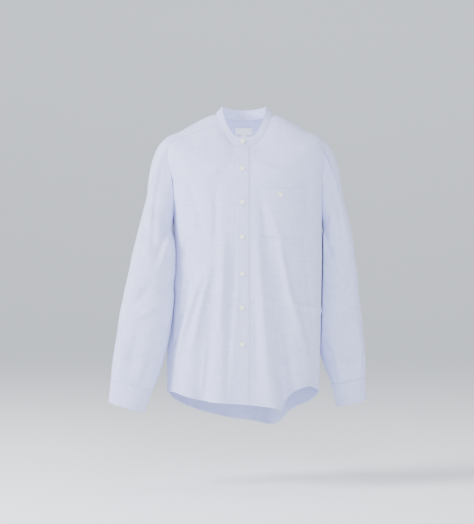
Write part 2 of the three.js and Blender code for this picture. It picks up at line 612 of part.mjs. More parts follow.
// Cuff with lapped ends at the back. It goes on from the sleeve's last section.
const CUFF_LAP = { start: -58, over: 36, ease: 24 };
const CUFF_SINK = STIFF + OVER + SPARE;
const CUFF_PROUD = 0.3;
const CUFF_COLUMNS = 28;
const CUFF_ROWS = 3;
const CUFF_SHORT = 0.005; // share of its length left as the gap below the sleeve
function cuffGrid(side, out) {
  const rows = [SLEEVES[side].at(-1), CUFFS[side]];
  const turns = steps(CUFF_LAP.start * RAD, (CUFF_LAP.start + 360 + CUFF_LAP.over) * RAD, CUFF_COLUMNS);
  return steps(CUFF_SHORT, 1, CUFF_ROWS).map((t) => {
    const section = sectionAt(side, rows, t);
    return turns.map((turn) => {
      const past = turn / RAD - CUFF_LAP.start;
      const sink = CUFF_SINK * (1 - smooth(CUFF_LAP.over, CUFF_LAP.over + CUFF_LAP.ease, past));
      return sectionPoint(section, turn, out - sink);
    });
  });
}

// Outward direction of a cuff's face at a turn.
function sectionNormal(side, section, turn) {
  const step = 0.02;
  const round = sectionPoint(section, turn + step).sub(sectionPoint(section, turn - step));
  const down = sectionAt(side, [SLEEVES[side].at(-1), CUFFS[side]], 1).middle.sub(section.middle);
  const across = down.cross(round).normalize();
  const outward = sectionPoint(section, turn).sub(section.middle);
  return across.dot(outward) > 0 ? across : across.negate();
}

const buttonProfile = [
  [0, 0], [4.4, 0], [BUTTON_RADIUS, 0.8], [BUTTON_RADIUS, 1.7], [4.9, BUTTON_THICK], [4.1, 1.8], [0, 1.6],
].map(([r, z]) => new THREE.Vector2(r, z));

// A button lying on the cloth at a point, its back 0.3 mm clear.
function addButton(name, point, normal) {
  const geometry = new THREE.LatheGeometry(buttonProfile, BUTTON_SIDES);
  const mesh = add(name, weld(geometry), COLOURS.button, 0.35);
  mesh.position.copy(point).addScaledVector(normal, OVER);
  mesh.quaternion.setFromUnitVectors(vec(0, 1, 0), normal);
}

// Joins vertices that share a place, keeping only positions.
function weld(geometry) {
  const source = geometry.toNonIndexed().getAttribute("position");
  const [keys, positions, order] = [new Map(), [], []];
  for (let i = 0; i < source.count; i++) {
    const place = [source.getX(i), source.getY(i), source.getZ(i)];
    const key = place.map((value) => Math.round(value * 1e4)).join();
    if (!keys.has(key)) {
      keys.set(key, keys.size);
      positions.push(...place);
    }
    order.push(keys.get(key));
  }
  const index = [];
  for (let i = 0; i < order.length; i += 3) {
    const [a, b, c] = order.slice(i, i + 3);
    if (a !== b && b !== c && a !== c) index.push(a, b, c);
  }
  return closedGeometry(positions, index);
}

FRONT_BUTTONS.forEach((z, i) => {
  const v = ringAt(FRONT_BUTTON_X, z, "front");
  const angle = angleAtX(FRONT_BUTTON_X, v);
  const normal = bodyNormal(angle, v);
  const point = bodyPoint(angle, v).addScaledVector(normal, OVER + CLOTH);
  addButton("button_front_" + (i + 1), point, normal);
});

const collarTurn = angleAtX(COLLAR_BUTTON_X, 0) - 2 * Math.PI;
addButton("button_collar", bandPoint(collarTurn, 0.5, BAND_PROUD), bandFrame(collarTurn).out);

const pocketRing = ringAt(POCKET_BUTTON.x, POCKET_BUTTON.z, "front");
const pocketAngle = angleAtX(POCKET_BUTTON.x, pocketRing);
const pocketNormal = bodyNormal(pocketAngle, pocketRing);
const pocketFace = bodyPoint(pocketAngle, pocketRing).addScaledVector(pocketNormal, PATCH_OVER + CLOTH);
addButton("button_pocket", pocketFace, pocketNormal);

// Sleeves, their back plackets and cuffs.
const PLACKET_TURN = -45; // where a sleeve's placket runs, at the back away from the body
const SLEEVE_PLACKET_ROWS = 5;
const STRIP_SHORT = 0.06; // how far its lower end is drawn up towards the row above
for (const side of ["left", "right"]) {
  const facing = side === "left" ? 1 : -1;
  const { points, turns } = sleeveGrid(side);
  const normals = tubeNormals(points, facing);
  add("sleeve_" + side, wall(points, moved(points, normals, -CLOTH), true), COLOURS.cloth);

  const nearest = turns.findIndex((turn) => turn < PLACKET_TURN * RAD);
  const cut = (grid) => grid.slice(-SLEEVE_PLACKET_ROWS).map((row) => row.slice(nearest - 1, nearest + 2));
  const strip = cut(points).map((row) => row.map((point) => point.clone()));
  const stripNormals = cut(normals);
  strip.at(-1).forEach((point, c) => point.lerp(strip.at(-2)[c], STRIP_SHORT));
  add(
    "sleeve_placket_" + side,
    wall(moved(strip, stripNormals, OVER + CLOTH), moved(strip, stripNormals, OVER)),
    COLOURS.cloth,
  );

  add("cuff_" + side, wall(cuffGrid(side, CUFF_PROUD), cuffGrid(side, CUFF_PROUD - STIFF)), COLOURS.cloth);
  const section = sectionAt(side, [SLEEVES[side].at(-1), CUFFS[side]], 0.5);
  const turn = (CUFF_LAP.start + CUFF_LAP.over * 0.5) * RAD;
  const face = sectionPoint(section, turn, CUFF_PROUD);
  addButton("button_cuff_" + side, face, sectionNormal(side, section, turn));
}

export default group;
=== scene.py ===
import math

import bpy
import numpy as np
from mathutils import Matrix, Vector


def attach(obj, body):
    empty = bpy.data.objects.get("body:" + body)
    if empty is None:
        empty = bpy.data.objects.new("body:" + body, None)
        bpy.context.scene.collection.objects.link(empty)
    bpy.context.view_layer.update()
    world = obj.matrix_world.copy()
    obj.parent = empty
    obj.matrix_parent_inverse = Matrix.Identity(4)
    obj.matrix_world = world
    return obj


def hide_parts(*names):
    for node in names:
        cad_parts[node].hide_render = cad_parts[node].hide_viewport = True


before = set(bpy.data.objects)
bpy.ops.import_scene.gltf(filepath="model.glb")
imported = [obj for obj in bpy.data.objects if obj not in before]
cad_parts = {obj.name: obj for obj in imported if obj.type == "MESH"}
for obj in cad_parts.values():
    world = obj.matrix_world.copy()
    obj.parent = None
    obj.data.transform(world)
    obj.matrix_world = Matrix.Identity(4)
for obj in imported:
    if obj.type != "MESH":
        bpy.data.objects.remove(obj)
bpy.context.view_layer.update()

# A men's shirt with a stand collar, filled out with no wearer. Sizes below are millimetres until a mesh
# is made. +Z up, front faces -Y, the wearer's left is +X.

MM = 0.001
RAD = math.pi / 180
CLOTH = 1.2  # the solids' wall of one layer
SHELL = 0.7  # the cloth's own thickness here
STIFF = 1.8
SEAM = 0.3
OVER = 0.3
PATCH_OVER = 0.7
LABEL_OVER = 0.9
STIFF_SHELL = 1.6  # the doubled cloth of band and cuffs here
LABEL_THICK = 0.6
PLACKET_FOLD = 14.5
BAND_HEIGHT = 25
TIP = 2.8
PIT = 5
HEM = 9
HEM_LEVEL = -735

RING_KEYS = ("half", "cx", "yFront", "ySide", "yBack", "zSide", "zFront", "zBack", "square",
             "frontDrop", "backDrop")
RINGS = np.array([
    (71, 3, -70, 2, 60, 0, -86, -11, 2, 2.7, 2),
    (97, 3, -80, 3, 75, -9, -97, -24, 2, 2.5, 3),
    (154, 3, -94, 5, 96, -40, -117, -58, 2.1, 2.2, 6),
    (205, 3, -104, 6, 108, -74, -141, -104, 2.3, 2.2, 10),
    (195, 8, -111, 6, 113, -165, -197, -182, 2.35, 2.2, 8),
    (186, 12, -115, 5, 112, -262, -262, -262, 2.35, 2.2, 6),
    (187, 10, -114, 4, 108, -378, -378, -378, 2.3, 2.2, 6),
    (189, 6, -113, 3, 107, -495, -495, -495, 2.25, 2.2, 6),
    (191, 2, -112, 3, 108, -615, -615, -615, 2.2, 2.2, 6),
    (190, 0, -112, 3, 109, -735, -735, -735, 2.2, 2.2, 6),
], float)

# Height of the hem by direction: 0 wearer's left side, 90 back, -90 front.
HEM_TURNS = (-180, -147, -120, -90, -70, -62, -57, -52, -45, -34, -14, 0, 35, 46, 55, 61, 67, 91, 126,
             150, 180)
HEM_HEIGHTS = (-692, -692, -709, -717, -725, -731, -712, -691, -680, -675, -686, -692, -727, -737, -752,
               -773, -784, -773, -747, -722, -692)

# Largest folds of the body: face, x at top, x at hem, z at top, width, how far out.
FOLDS = (
    ("front", 42, 112, -200, 19, -18),
    ("front", 28, 72, -250, 22, 11),
    ("front", 70, 160, -205, 26, 8),
    ("front", -66, -106, -330, 19, -13),
    ("front", -38, -60, -240, 24, 8),
    ("front", -90, -150, -340, 24, 8),
    ("back", -92, -128, -240, 22, -14),
    ("back", -56, -80, -260, 26, 9),
    ("back", -18, -30, -330, 22, -11),
    ("back", 14, 20, -300, 27, 7),
    ("back", 56, 74, -260, 22, -14),
    ("back", 92, 124, -290, 26, 9),
)
FOLD_BOW = 1.25
FOLD_RADIUS = 155

ARMHOLE_TOP = 24
ARMHOLES = {"left": {"front": 15, "back": 28}, "right": {"front": 22, "back": 23}}
YOKE_AT_NECK = 38

# Sleeve sections: x and z of the outer end, x and z of the inner end, y of the middle, half depth.
SLEEVES = {
    "right": np.array([
        (239, -205, 174, -296, -12, 50), (260, -290, 166, -332, -31, 54),
        (282, -385, 166, -408, -46, 53), (301, -475, 173, -492, -48, 49),
        (315, -565, 187, -582, -45, 44), (324, -625, 208, -648, -41, 39),
        (327, -661, 224, -687, -38, 34)], float),
    "left": np.array([
        (251, -205, 200, -296, 17, 54), (274, -290, 188, -330, 32, 57),
        (288, -385, 183, -402, 44, 56), (297, -475, 183, -486, 46, 51),
        (306, -565, 188, -572, 43, 45), (310, -625, 206, -634, 38, 40),
        (309, -661, 222, -675, 35, 35)], float),
}
CUFFS = {
    "right": np.array((333, -716, 244, -743, -36, 33), float),
    "left": np.array((311, -717, 235, -733, 33, 34), float),
}
SLEEVE_SQUARE = 2.2
SLEEVE_SEAM = 0.21
SLEEVE_CLEAR = 4
PIT_CLEAR = 0.2
PIT_RUN = 90
CAP_REACH = 46
SIDE_REACH = 36
PIT_REACH = 4
PIT_LIFT = 150 * RAD
CAP_SLOPE = 37 * RAD
CAP_HALF = 75 * RAD
CAP_AIM = 0.8
# Folds across the sleeves: section, turn, climb, width, reach, how far out.
SLEEVE_FOLDS = (
    (1.2, 95, 2.2, 0.22, 60, -4), (2.3, 150, -2.0, 0.24, 70, -4.5), (3.1, 60, 1.8, 0.26, 60, -3.5),
    (4.4, 120, -1.6, 0.24, 65, -3.5), (1.9, -100, -2.0, 0.24, 70, -4.5), (3.4, -70, 1.8, 0.26, 60, -4),
)


def lerp(a, b, t):
    return a + (b - a) * t


def smooth(lo, hi, t):
    s = np.clip((np.asarray(t, float) - lo) / (hi - lo), 0, 1)
    return s * s * (3 - 2 * s)


def signed_power(base, power):
    return np.sign(base) * np.abs(base) ** power


def unit(vectors):
    length = np.linalg.norm(vectors, axis=-1, keepdims=True)
    return vectors / np.maximum(length, 1e-12)


def turn_from(turn, middle):
    """Turn from one direction to another, the short way round."""
    return np.arctan2(np.sin(turn - middle), np.cos(turn - middle))


def path_lengths(lines):
    """Distance along each line, from its first point to each of its points."""
    steps = np.linalg.norm(np.diff(lines, axis=-2), axis=-1)
    return np.concatenate([np.zeros_like(steps[..., :1]), np.cumsum(steps, -1)], -1)


def table_at(rows, t):
    """Smooth curve through a table's rows, all its columns at once."""
    t = np.asarray(t, float)
    last = len(rows) - 1
    i = np.clip(np.floor(t).astype(int), 0, last - 1)
    f = (t - i)[..., None]
    a, b, c, d = (rows[np.clip(i + k, 0, last)] for k in (-1, 0, 1, 2))
    return b + 0.5 * f * (c - a + f * (2 * a - 5 * b + 4 * c - d + f * (3 * (b - c) + d - a)))


def ring_at(v):
    found = table_at(RINGS, v)
    return {key: found[..., i] for i, key in enumerate(RING_KEYS)}


def ring_number(z):
    """Ring number at a height, from the armpit down to the hem."""
    top = RINGS[PIT, RING_KEYS.index("zSide")]
    return PIT + (HEM - PIT) * np.clip((z - top) / (HEM_LEVEL - top), 0, 1)


def hem_height(angle):
    turn = (np.degrees(angle) + 180) % 360 - 180
    turns, heights = np.array(HEM_TURNS, float), np.array(HEM_HEIGHTS, float)
    slopes = np.zeros(len(turns))
    slopes[1:-1] = (heights[2:] - heights[:-2]) / (turns[2:] - turns[:-2])
    i = np.clip(np.searchsorted(turns, turn, side="left"), 1, len(turns) - 1)
    span = turns[i] - turns[i - 1]
    t = (turn - turns[i - 1]) / span
    rise = t * t * (3 - 2 * t)
    bend = span * t * (1 - t) * ((1 - t) * slopes[i - 1] - t * slopes[i])
    return lerp(heights[i - 1], heights[i], rise) + bend


def angle_at_x(x, v, face="front"):
    ring = ring_at(v)
    across = np.clip((x - ring["cx"]) / ring["half"], -1, 1)
    angle = np.arccos(np.clip(signed_power(across, ring["square"] / 2), -1, 1))
    return -angle if face == "front" else angle


def fold_offset(angle, z):
    out = np.zeros(np.broadcast(angle, z).shape)
    for face, x_top, x_hem, z_top, width, depth in FOLDS:
        run = np.maximum((z - z_top) / (HEM_LEVEL - z_top), 0)
        middle = angle_at_x(lerp(x_top, x_hem, run), HEM, face)
        beside = turn_from(angle, middle) * FOLD_RADIUS / (width * (0.75 + 0.25 * run))
        out += depth * run ** FOLD_BOW * np.exp(-beside * beside)
    return out


def round_lengths():
    """Distance round the body from the back of the wearer's right side, by direction."""
    turns = np.linspace(-math.pi, math.pi, 1441)
    ring = {key: RINGS[6, i] for i, key in enumerate(RING_KEYS)}
    power = 2 / ring["square"]
    x = ring["half"] * signed_power(np.cos(turns), power)
    front = np.sin(turns) < 0
    depth = np.where(front, ring["ySide"] - ring["yFront"], ring["yBack"] - ring["ySide"])
    y = depth * signed_power(np.sin(turns), power)
    return turns, path_lengths(np.stack([x, y], -1))


ROUND_TURNS, ROUND_LENGTHS = round_lengths()
ROUND_WHOLE = ROUND_LENGTHS[-1]


def round_length(angle):
    turn = (np.asarray(angle) + math.pi) % (2 * math.pi) - math.pi
    return np.interp(turn, ROUND_TURNS, ROUND_LENGTHS)


CREASE_DEPTH = 2.1  # all the heights below are taken times this


def crease_offset(a, z, lines, whole=None):
    """Soft troughs and ridges. Each line is its points, a width, a second width and a height."""
    out = np.zeros(np.broadcast(a, z).shape)
    for points, wide, wide_far, height in lines:
        best = np.full(out.shape, 1e9)
        side = np.zeros(out.shape)
        place = np.zeros(out.shape)
        lengths = [math.dist(p, q) for p, q in zip(points, points[1:])]
        total, reached = sum(lengths), 0.0
        for (p, q), length in zip(zip(points, points[1:]), lengths):
            direction = ((q[0] - p[0]) / length, (q[1] - p[1]) / length)
            da, dz = a - p[0], z - p[1]
            if whole:
                da = (da + whole / 2) % whole - whole / 2
            s = np.clip(da * direction[0] + dz * direction[1], 0, length)
            ra, rz = da - s * direction[0], dz - s * direction[1]
            away = np.hypot(ra, rz)
            nearer = away < best
            best = np.where(nearer, away, best)
            side = np.where(nearer, direction[0] * rz - direction[1] * ra, side)
            place = np.where(nearer, (reached + s) / total, place)
            reached += length
        width = np.where(side > 0, wide, wide_far)
        taper = np.sin(np.pi * np.clip(place * 0.94 + 0.03, 0, 1)) ** 0.75
        out += CREASE_DEPTH * height * taper * np.exp(-(best / width) ** 2)
    return out


# Creases of the body's front, by x and z, as the photo shows them, and of its back in the same manner:
# points, width on either side, height.
FRONT_CREASES = (
    (((44, -214), (58, -330), (66, -430)), 9, 12, -2.2),
    (((62, -232), (87, -312), (107, -432), (132, -530)), 12, 9, 2.4),
    (((107, -432), (142, -552), (167, -652)), 12, 10, 2.4),
    (((34, -300), (44, -440), (58, -640)), 10, 12, 2.2),
    (((-47, -302), (-50, -420), (-58, -540)), 10, 12, 3.0),
    (((-62, -196), (-66, -272), (-70, -330)), 8, 10, -2.6),
    (((-87, -377), (-117, -452), (-147, -552), (-164, -640)), 8, 12, 3.9),
    (((-77, -377), (-105, -502), (-124, -600)), 7, 9, 3.0),
    (((-142, -302), (-144, -340), (-143, -372)), 9, 12, -2.7),
    (((-130, -400), (-148, -490), (-164, -580)), 7, 9, -3.0),
    (((-20, -330), (-27, -450), (-36, -600), (-40, -700)), 8, 11, -2.4),
    (((30, -470), (34, -560), (33, -680)), 8, 9, -1.3),
    (((-118, -180), (-112, -240), (-100, -300)), 9, 11, -2.0),
    (((96, -330), (118, -400), (126, -470)), 9, 8, -1.3),
    (((150, -340), (162, -430), (172, -540)), 9, 8, -1.8),
    (((-172, -420), (-176, -520), (-178, -640)), 8, 7, -1.8),
    (((-30, -120), (-56, -150), (-90, -172)), 10, 14, 1.2),
    (((40, -120), (72, -142), (112, -160)), 10, 14, 1.2),
    (((-168, -150), (-150, -200), (-136, -260)), 9, 12, -1.5),
    (((165, -160), (158, -210), (150, -268)), 8, 10, -1.3),
    (((-90, -560), (-96, -620), (-104, -700)), 6, 8, 2.3),
)
BACK_CREASES = (
    (((-150, -150), (-132, -220), (-124, -320)), 10, 12, -2.0),
    (((146, -150), (130, -230), (124, -330)), 10, 12, -2.0),
    (((-110, -190), (-104, -300), (-100, -420)), 10, 13, 2.2),
    (((-60, -250), (-66, -380), (-78, -520)), 12, 9, 2.2),
    (((24, -230), (22, -360), (30, -520)), 12, 10, 2.0),
    (((66, -210), (72, -330), (82, -460)), 9, 12, -1.8),
    (((100, -300), (112, -430), (128, -600)), 10, 12, 2.4),
    (((-36, -420), (-44, -560), (-50, -700)), 9, 12, -1.6),
    (((-142, -380), (-156, -500), (-164, -640)), 9, 11, -2.0),
    (((152, -360), (160, -470), (172, -620)), 10, 9, -2.0),
    (((-8, -170), (-4, -260), (-10, -350)), 10, 10, -1.4),
    (((-90, -520), (-96, -620), (-100, -720)), 8, 10, 1.6),
    (((56, -520), (60, -640), (52, -740)), 9, 9, 1.5),
    (((4, -470), (0, -600), (8, -730)), 10, 9, -1.4),
    (((-176, -300), (-180, -420), (-182, -560)), 8, 8, 1.4),
    (((178, -320), (182, -440), (183, -590)), 8, 8, 1.4),
)


def body_lines(table, face):
    lines = []
    for points, wide, wide_far, height in table:
        placed = [(float(round_length(angle_at_x(x, ring_number(z), face))), z) for x, z in points]
        lines.append((placed, wide, wide_far, height))
    return lines


BODY_LINES = body_lines(FRONT_CREASES, "front") + body_lines(BACK_CREASES, "back")


def body_point(angle, v, creased=True):
    angle, v = np.broadcast_arrays(np.asarray(angle, float), np.asarray(v, float))
    ring = ring_at(v)
    c, s = np.cos(angle), np.sin(angle)
    power = 2 / ring["square"]
    front = s < 0
    depth = np.where(front, ring["ySide"] - ring["yFront"], ring["yBack"] - ring["ySide"])
    across, forward = signed_power(c, power), signed_power(s, power)
    drop = 1 - np.abs(c) ** np.where(front, ring["frontDrop"], ring["backDrop"])
    share = np.clip((v - PIT) / (HEM - PIT), 0, 1) ** 1.4
    z = lerp(ring["zSide"], np.where(front, ring["zFront"], ring["zBack"]), drop)
    z = z + share * (hem_height(angle) - HEM_LEVEL)
    facing = unit(np.stack([across / ring["half"], forward / depth, np.zeros_like(across)], -1))
    x = ring["cx"] + ring["half"] * across
    point = np.stack([x, ring["ySide"] + depth * forward, z], -1)
    out = fold_offset(angle, z)
    if creased:
        out = out + crease_offset(round_length(angle), z, BODY_LINES, ROUND_WHOLE)
    return point + facing * out[..., None]


def body_normal(angle, v, creased=True):
    step = 2e-3
    down = body_point(angle, np.minimum(HEM, v + step), creased)
    down = down - body_point(angle, np.maximum(0, v - step), creased)
    along = body_point(angle + step, v, creased) - body_point(angle - step, v, creased)
    return unit(np.cross(down, along))


def body_grid(angles, v):
    """Points and normals of the body's cloth."""
    return body_point(angles, v), body_normal(angles, v)


def panel_edge(side, face, v):
    run = np.clip((np.asarray(v, float) - TIP) / (PIT - TIP), 0, 1)
    opening = lerp(ARMHOLE_TOP, ARMHOLES[side][face], smooth(0, 0.4, run))
    closing = np.maximum(0, (run - 0.4) / 0.6)
    from_side = opening * RAD * (1 - closing ** 2.4) ** (1 / 2.4)
    turn = -from_side if face == "front" else from_side
    return turn if side == "left" else -math.pi - turn


def yoke_seam(v):
    return lerp(ARMHOLE_TOP, YOKE_AT_NECK, np.maximum(0, 1 - np.asarray(v, float) / TIP) ** 1.5) * RAD


def between(marks, counts):
    """Values from mark to mark, each stretch cut in its own count of even steps."""
    parts = [np.linspace(a, b, n + 1)[:-1] for a, b, n in zip(marks, marks[1:], counts)]
    return np.concatenate(parts + [[marks[-1]]])


def lines_from(grid, edge):
    """A grid's lines that leave one of its edges, each with its point on the edge first."""
    lines = grid if edge in ("start", "end") else grid.swapaxes(0, 1)
    return lines[:, ::-1] if edge in ("end", "bottom") else lines


def edge_distances(points, edge):
    """Distance of each grid point from an edge, measured along the cloth."""
    away = np.empty(points.shape[:2])
    lines_from(away, edge)[:] = path_lengths(lines_from(points, edge))
    return away


def draw_back(points, edges):
    """Moves edges in by half the gap of a seam."""
    for edge in edges:
        lines = lines_from(points, edge)
        lines[:, 0] += unit(lines[:, 1] - lines[:, 0]) * SEAM / 2


def outward_normals(points, middle, wrapped=False):
    """Normals of a grid, away from its middle. A wrapped grid closes on itself."""
    if wrapped:
        along = np.roll(points, -1, 1) - np.roll(points, 1, 1)
    else:
        along = np.gradient(points, axis=1)
    normals = unit(np.cross(np.gradient(points, axis=0), along))
    return normals if np.sum(normals * (points - middle)) > 0 else -normals


def add_object(name, data):
    obj = bpy.data.objects.new(name, data)
    bpy.context.collection.objects.link(obj)
    return obj


def new_mesh(name, vertices, faces, uvs=None, smooth_shaded=True):
    mesh = bpy.data.meshes.new(name)
    mesh.from_pydata((np.asarray(vertices) * MM).tolist(), [], faces)
    if uvs is not None:
        layer = mesh.uv_layers.new(name="cloth")
        loops = np.empty(len(mesh.loops), np.int32)
        mesh.loops.foreach_get("vertex_index", loops)
        layer.data.foreach_set("uv", (np.asarray(uvs)[loops] * MM).ravel())
    mesh.update()
    if smooth_shaded:
        mesh.shade_smooth()
    return add_object(name, mesh)


def cloth_uvs(points):
    """Distances along the cloth, so that its weave keeps its size."""
    across = path_lengths(points)
    across -= across[:, [across.shape[1] // 2]]
    down = path_lengths(points.swapaxes(0, 1)).mean(0)
    return np.stack([across, np.repeat(down[:, None], points.shape[1], 1)], -1)


def upright_uvs(points):
    """The same for a panel of the body, with its weft level wherever the panel's rows run."""
    return np.stack([path_lengths(points[..., :2]), -points[..., 2]], -1)


def shell(name, outer, normals, thick=SHELL, wrapped=False, uvs=None):
    """Closed thin cloth between an outer grid and one set in by its thickness."""
    inner = outer - normals * np.broadcast_to(thick, outer.shape[:2])[..., None]
    points = np.concatenate([outer.reshape(-1, 3), inner.reshape(-1, 3)])
    rows, columns = outer.shape[:2]
    count = rows * columns
    number = np.arange(count).reshape(rows, columns)
    if wrapped:
        number = np.concatenate([number, number[:, :1]], 1)
    a, b = number[:-1, :-1].ravel(), number[:-1, 1:].ravel()
    c, d = number[1:, 1:].ravel(), number[1:, :-1].ravel()
    faces = [np.stack([a, b, c, d], 1), np.stack([a, d, c, b], 1) + count]
    rims = [(number[0], False), (number[-1], True)]
    if not wrapped:
        rims += [(number[:, 0], True), (number[:, -1], False)]
    for line, flipped in rims:
        rim = np.stack([line[:-1], line[:-1] + count, line[1:] + count, line[1:]], 1)
        faces.append(rim[:, ::-1] if flipped else rim)
    faces = np.concatenate(faces)
    a, b, c, d = (points[faces[:, k]] for k in range(4))
    if np.sum(a * np.cross(b, c)) + np.sum(a * np.cross(c, d)) < 0:
        faces = faces[:, ::-1]
    uv = (cloth_uvs(outer) if uvs is None else uvs).reshape(-1, 2)
    return new_mesh(name, points, faces.tolist(), np.concatenate([uv, uv]))


ROLL_WIDE = 1.6  # over this distance an edge rolls in
PUCKERS = ((7.3, 0.6), (11.9, 2.1), (19.7, 4.4))  # small waves along a seam: length and start


def finish_edges(points, normals, edges, roll=0.35, pucker=0.22, reach=7.0, turned=0.0, wide=0.0):
    """Rolls edges in, waves the cloth along their stitching, and lifts a hem turned up by its width."""
    points = points.copy()
    for edge in edges:
        lines = lines_from(points, edge)
        away, place = path_lengths(lines), path_lengths(lines[:, 0])[:, None]
        near = np.clip(1 - away / ROLL_WIDE, 0, 1)
        waves = sum(np.sin(2 * math.pi * place / length + start) for length, start in PUCKERS)
        out = pucker * waves / len(PUCKERS) * np.exp(-(away / reach) ** 2)
        out = out - roll * (1 - np.sqrt(1 - near * near))
        if turned:
            out = out + turned * (1 - smooth(wide - 0.5, wide + 0.9, away))
            out = out - 0.5 * turned * np.exp(-((away - wide + 1.2) / 0.7) ** 2)
        lines += lines_from(normals, edge) * out[..., None]
    return points


def thickness_left(before, after, normals, thick, least=0.15):
    """What a layer keeps of its thickness where its outer face was moved in and its inner face stays."""
    moved_in = np.sum((before - after) * normals, axis=-1)
    return np.maximum(thick - np.maximum(moved_in, 0), least)


def at_length(distance, reached, line):
    """Point of a line at a distance along it."""
    return np.array([np.interp(distance, reached, line[:, k]) for k in range(3)])


def inset_line(grid, edge, distance, values=None):
    """Points at a distance in from an edge of a grid, or other values of the grid there."""
    away = path_lengths(lines_from(grid, edge))
    lines = lines_from(grid if values is None else values, edge)
    return np.array([at_length(distance, reached, line) for line, reached in zip(lines, away)])


THREAD = 0.21  # its radius
STITCH = 2.3
STITCH_PITCH = 3.1


class Stitches:
    """Rows of short thread stitches, kept together as one mesh."""

    def __init__(self):
        self.vertices = []
        self.faces = []

    def add(self, start, end, normal, radius=THREAD):
        along = unit(end - start)
        side = unit(np.cross(normal, along))
        up = np.cross(along, side)
        length = np.linalg.norm(end - start)
        first = len(self.vertices)
        self.vertices.append(start - normal * radius)
        for share in (0.16, 0.5, 0.84):
            middle = start + along * length * share
            rise = radius * (0.55 if share == 0.5 else 0.2)
            for k in range(6):
                turn = k * math.pi / 3
                offset = side * math.cos(turn) + up * math.sin(turn)
                self.vertices.append(middle + offset * radius + normal * rise)
        self.vertices.append(end - normal * radius)
        last = len(self.vertices) - 1
        for k in range(6):
            following = (k + 1) % 6
            self.faces.append((first, first + 1 + following, first + 1 + k))
            self.faces.append((last, first + 13 + k, first + 13 + following))
            for ring in (1, 7):
                a, b = first + ring + k, first + ring + following
                self.faces.append((a, b, b + 6, a + 6))

    def row(self, line, normals):
        reached = path_lengths(line)
        for begin in np.arange(STITCH_PITCH / 2, reached[-1] - STITCH, STITCH_PITCH):
            start, end = (at_length(d, reached, line) for d in (begin, begin + STITCH))
            self.add(start, end, unit(at_length(begin, reached, normals)))

    def along_edges(self, grid, normals, distances, trim=(0, None)):
        """A row at a distance in from each edge named, left short at its ends by trim."""
        kept = slice(*trim)
        for edge, distance in distances:
            facing = inset_line(grid, edge, distance, normals)
            self.row(inset_line(grid, edge, distance)[kept], facing[kept])


def dress(obj, material, slot, *replaced):
    obj.data.materials.append(material)
    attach(obj, "root")
    if replaced:
        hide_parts(*replaced)


# Materials.
def node_maker(name):
    material = bpy.data.materials.new(name)
    material.use_nodes = True
    tree = material.node_tree
    return material, tree, tree.nodes["Principled BSDF"]


def set_sockets(node, values):
    for name, value in values.items():
        node.inputs[name].default_value = value


def math_node(tree, operation, *values):
    node = tree.nodes.new("ShaderNodeMath")
    node.operation = operation
    for socket, value in zip(node.inputs, values):
        if isinstance(value, (int, float)):
            socket.default_value = value
        else:
            tree.links.new(value, socket)
    return node.outputs[0]


def weighted_sum(tree, *weighted):
    """Sum of two values, each times its weight."""
    terms = [math_node(tree, "MULTIPLY", value, weight) for value, weight in weighted]
    return math_node(tree, "ADD", *terms)


def noise_on(tree, vector, scale=1.0, stretch=(1, 1, 1), detail=3, roughness=0.55):
    mapping = tree.nodes.new("ShaderNodeMapping")
    mapping.inputs["Scale"].default_value = stretch
    tree.links.new(vector, mapping.inputs["Vector"])
    noise = tree.nodes.new("ShaderNodeTexNoise")
    set_sockets(noise, {"Scale": scale, "Detail": detail, "Roughness": roughness})
    tree.links.new(mapping.outputs[0], noise.inputs["Vector"])
    return noise.outputs["Fac"]


def ramp(tree, value, low, high, low_at=0.3, high_at=0.7):
    node = tree.nodes.new("ShaderNodeValToRGB")
    node.color_ramp.elements[0].position = low_at
    node.color_ramp.elements[1].position = high_at
    node.color_ramp.elements[0].color = (*low, 1)
    node.color_ramp.elements[1].color = (*high, 1)
    tree.links.new(value, node.inputs["Fac"])
    return node.outputs["Color"]


def multiply_colours(tree, first, second):
    node = tree.nodes.new("ShaderNodeMix")
    node.data_type = "RGBA"
    node.blend_type = "MULTIPLY"
    sockets = {socket.name: socket for socket in node.inputs if socket.enabled}
    sockets["Factor"].default_value = 1.0
    tree.links.new(first, sockets["A"])
    tree.links.new(second, sockets["B"])
    return [socket for socket in node.outputs if socket.enabled][0]


BLUE_THREAD = (0.455, 0.50, 0.85)
PALE_THREAD = (0.75, 0.775, 1.0)
THREAD_PITCH = 0.00052  # metres between neighbouring threads


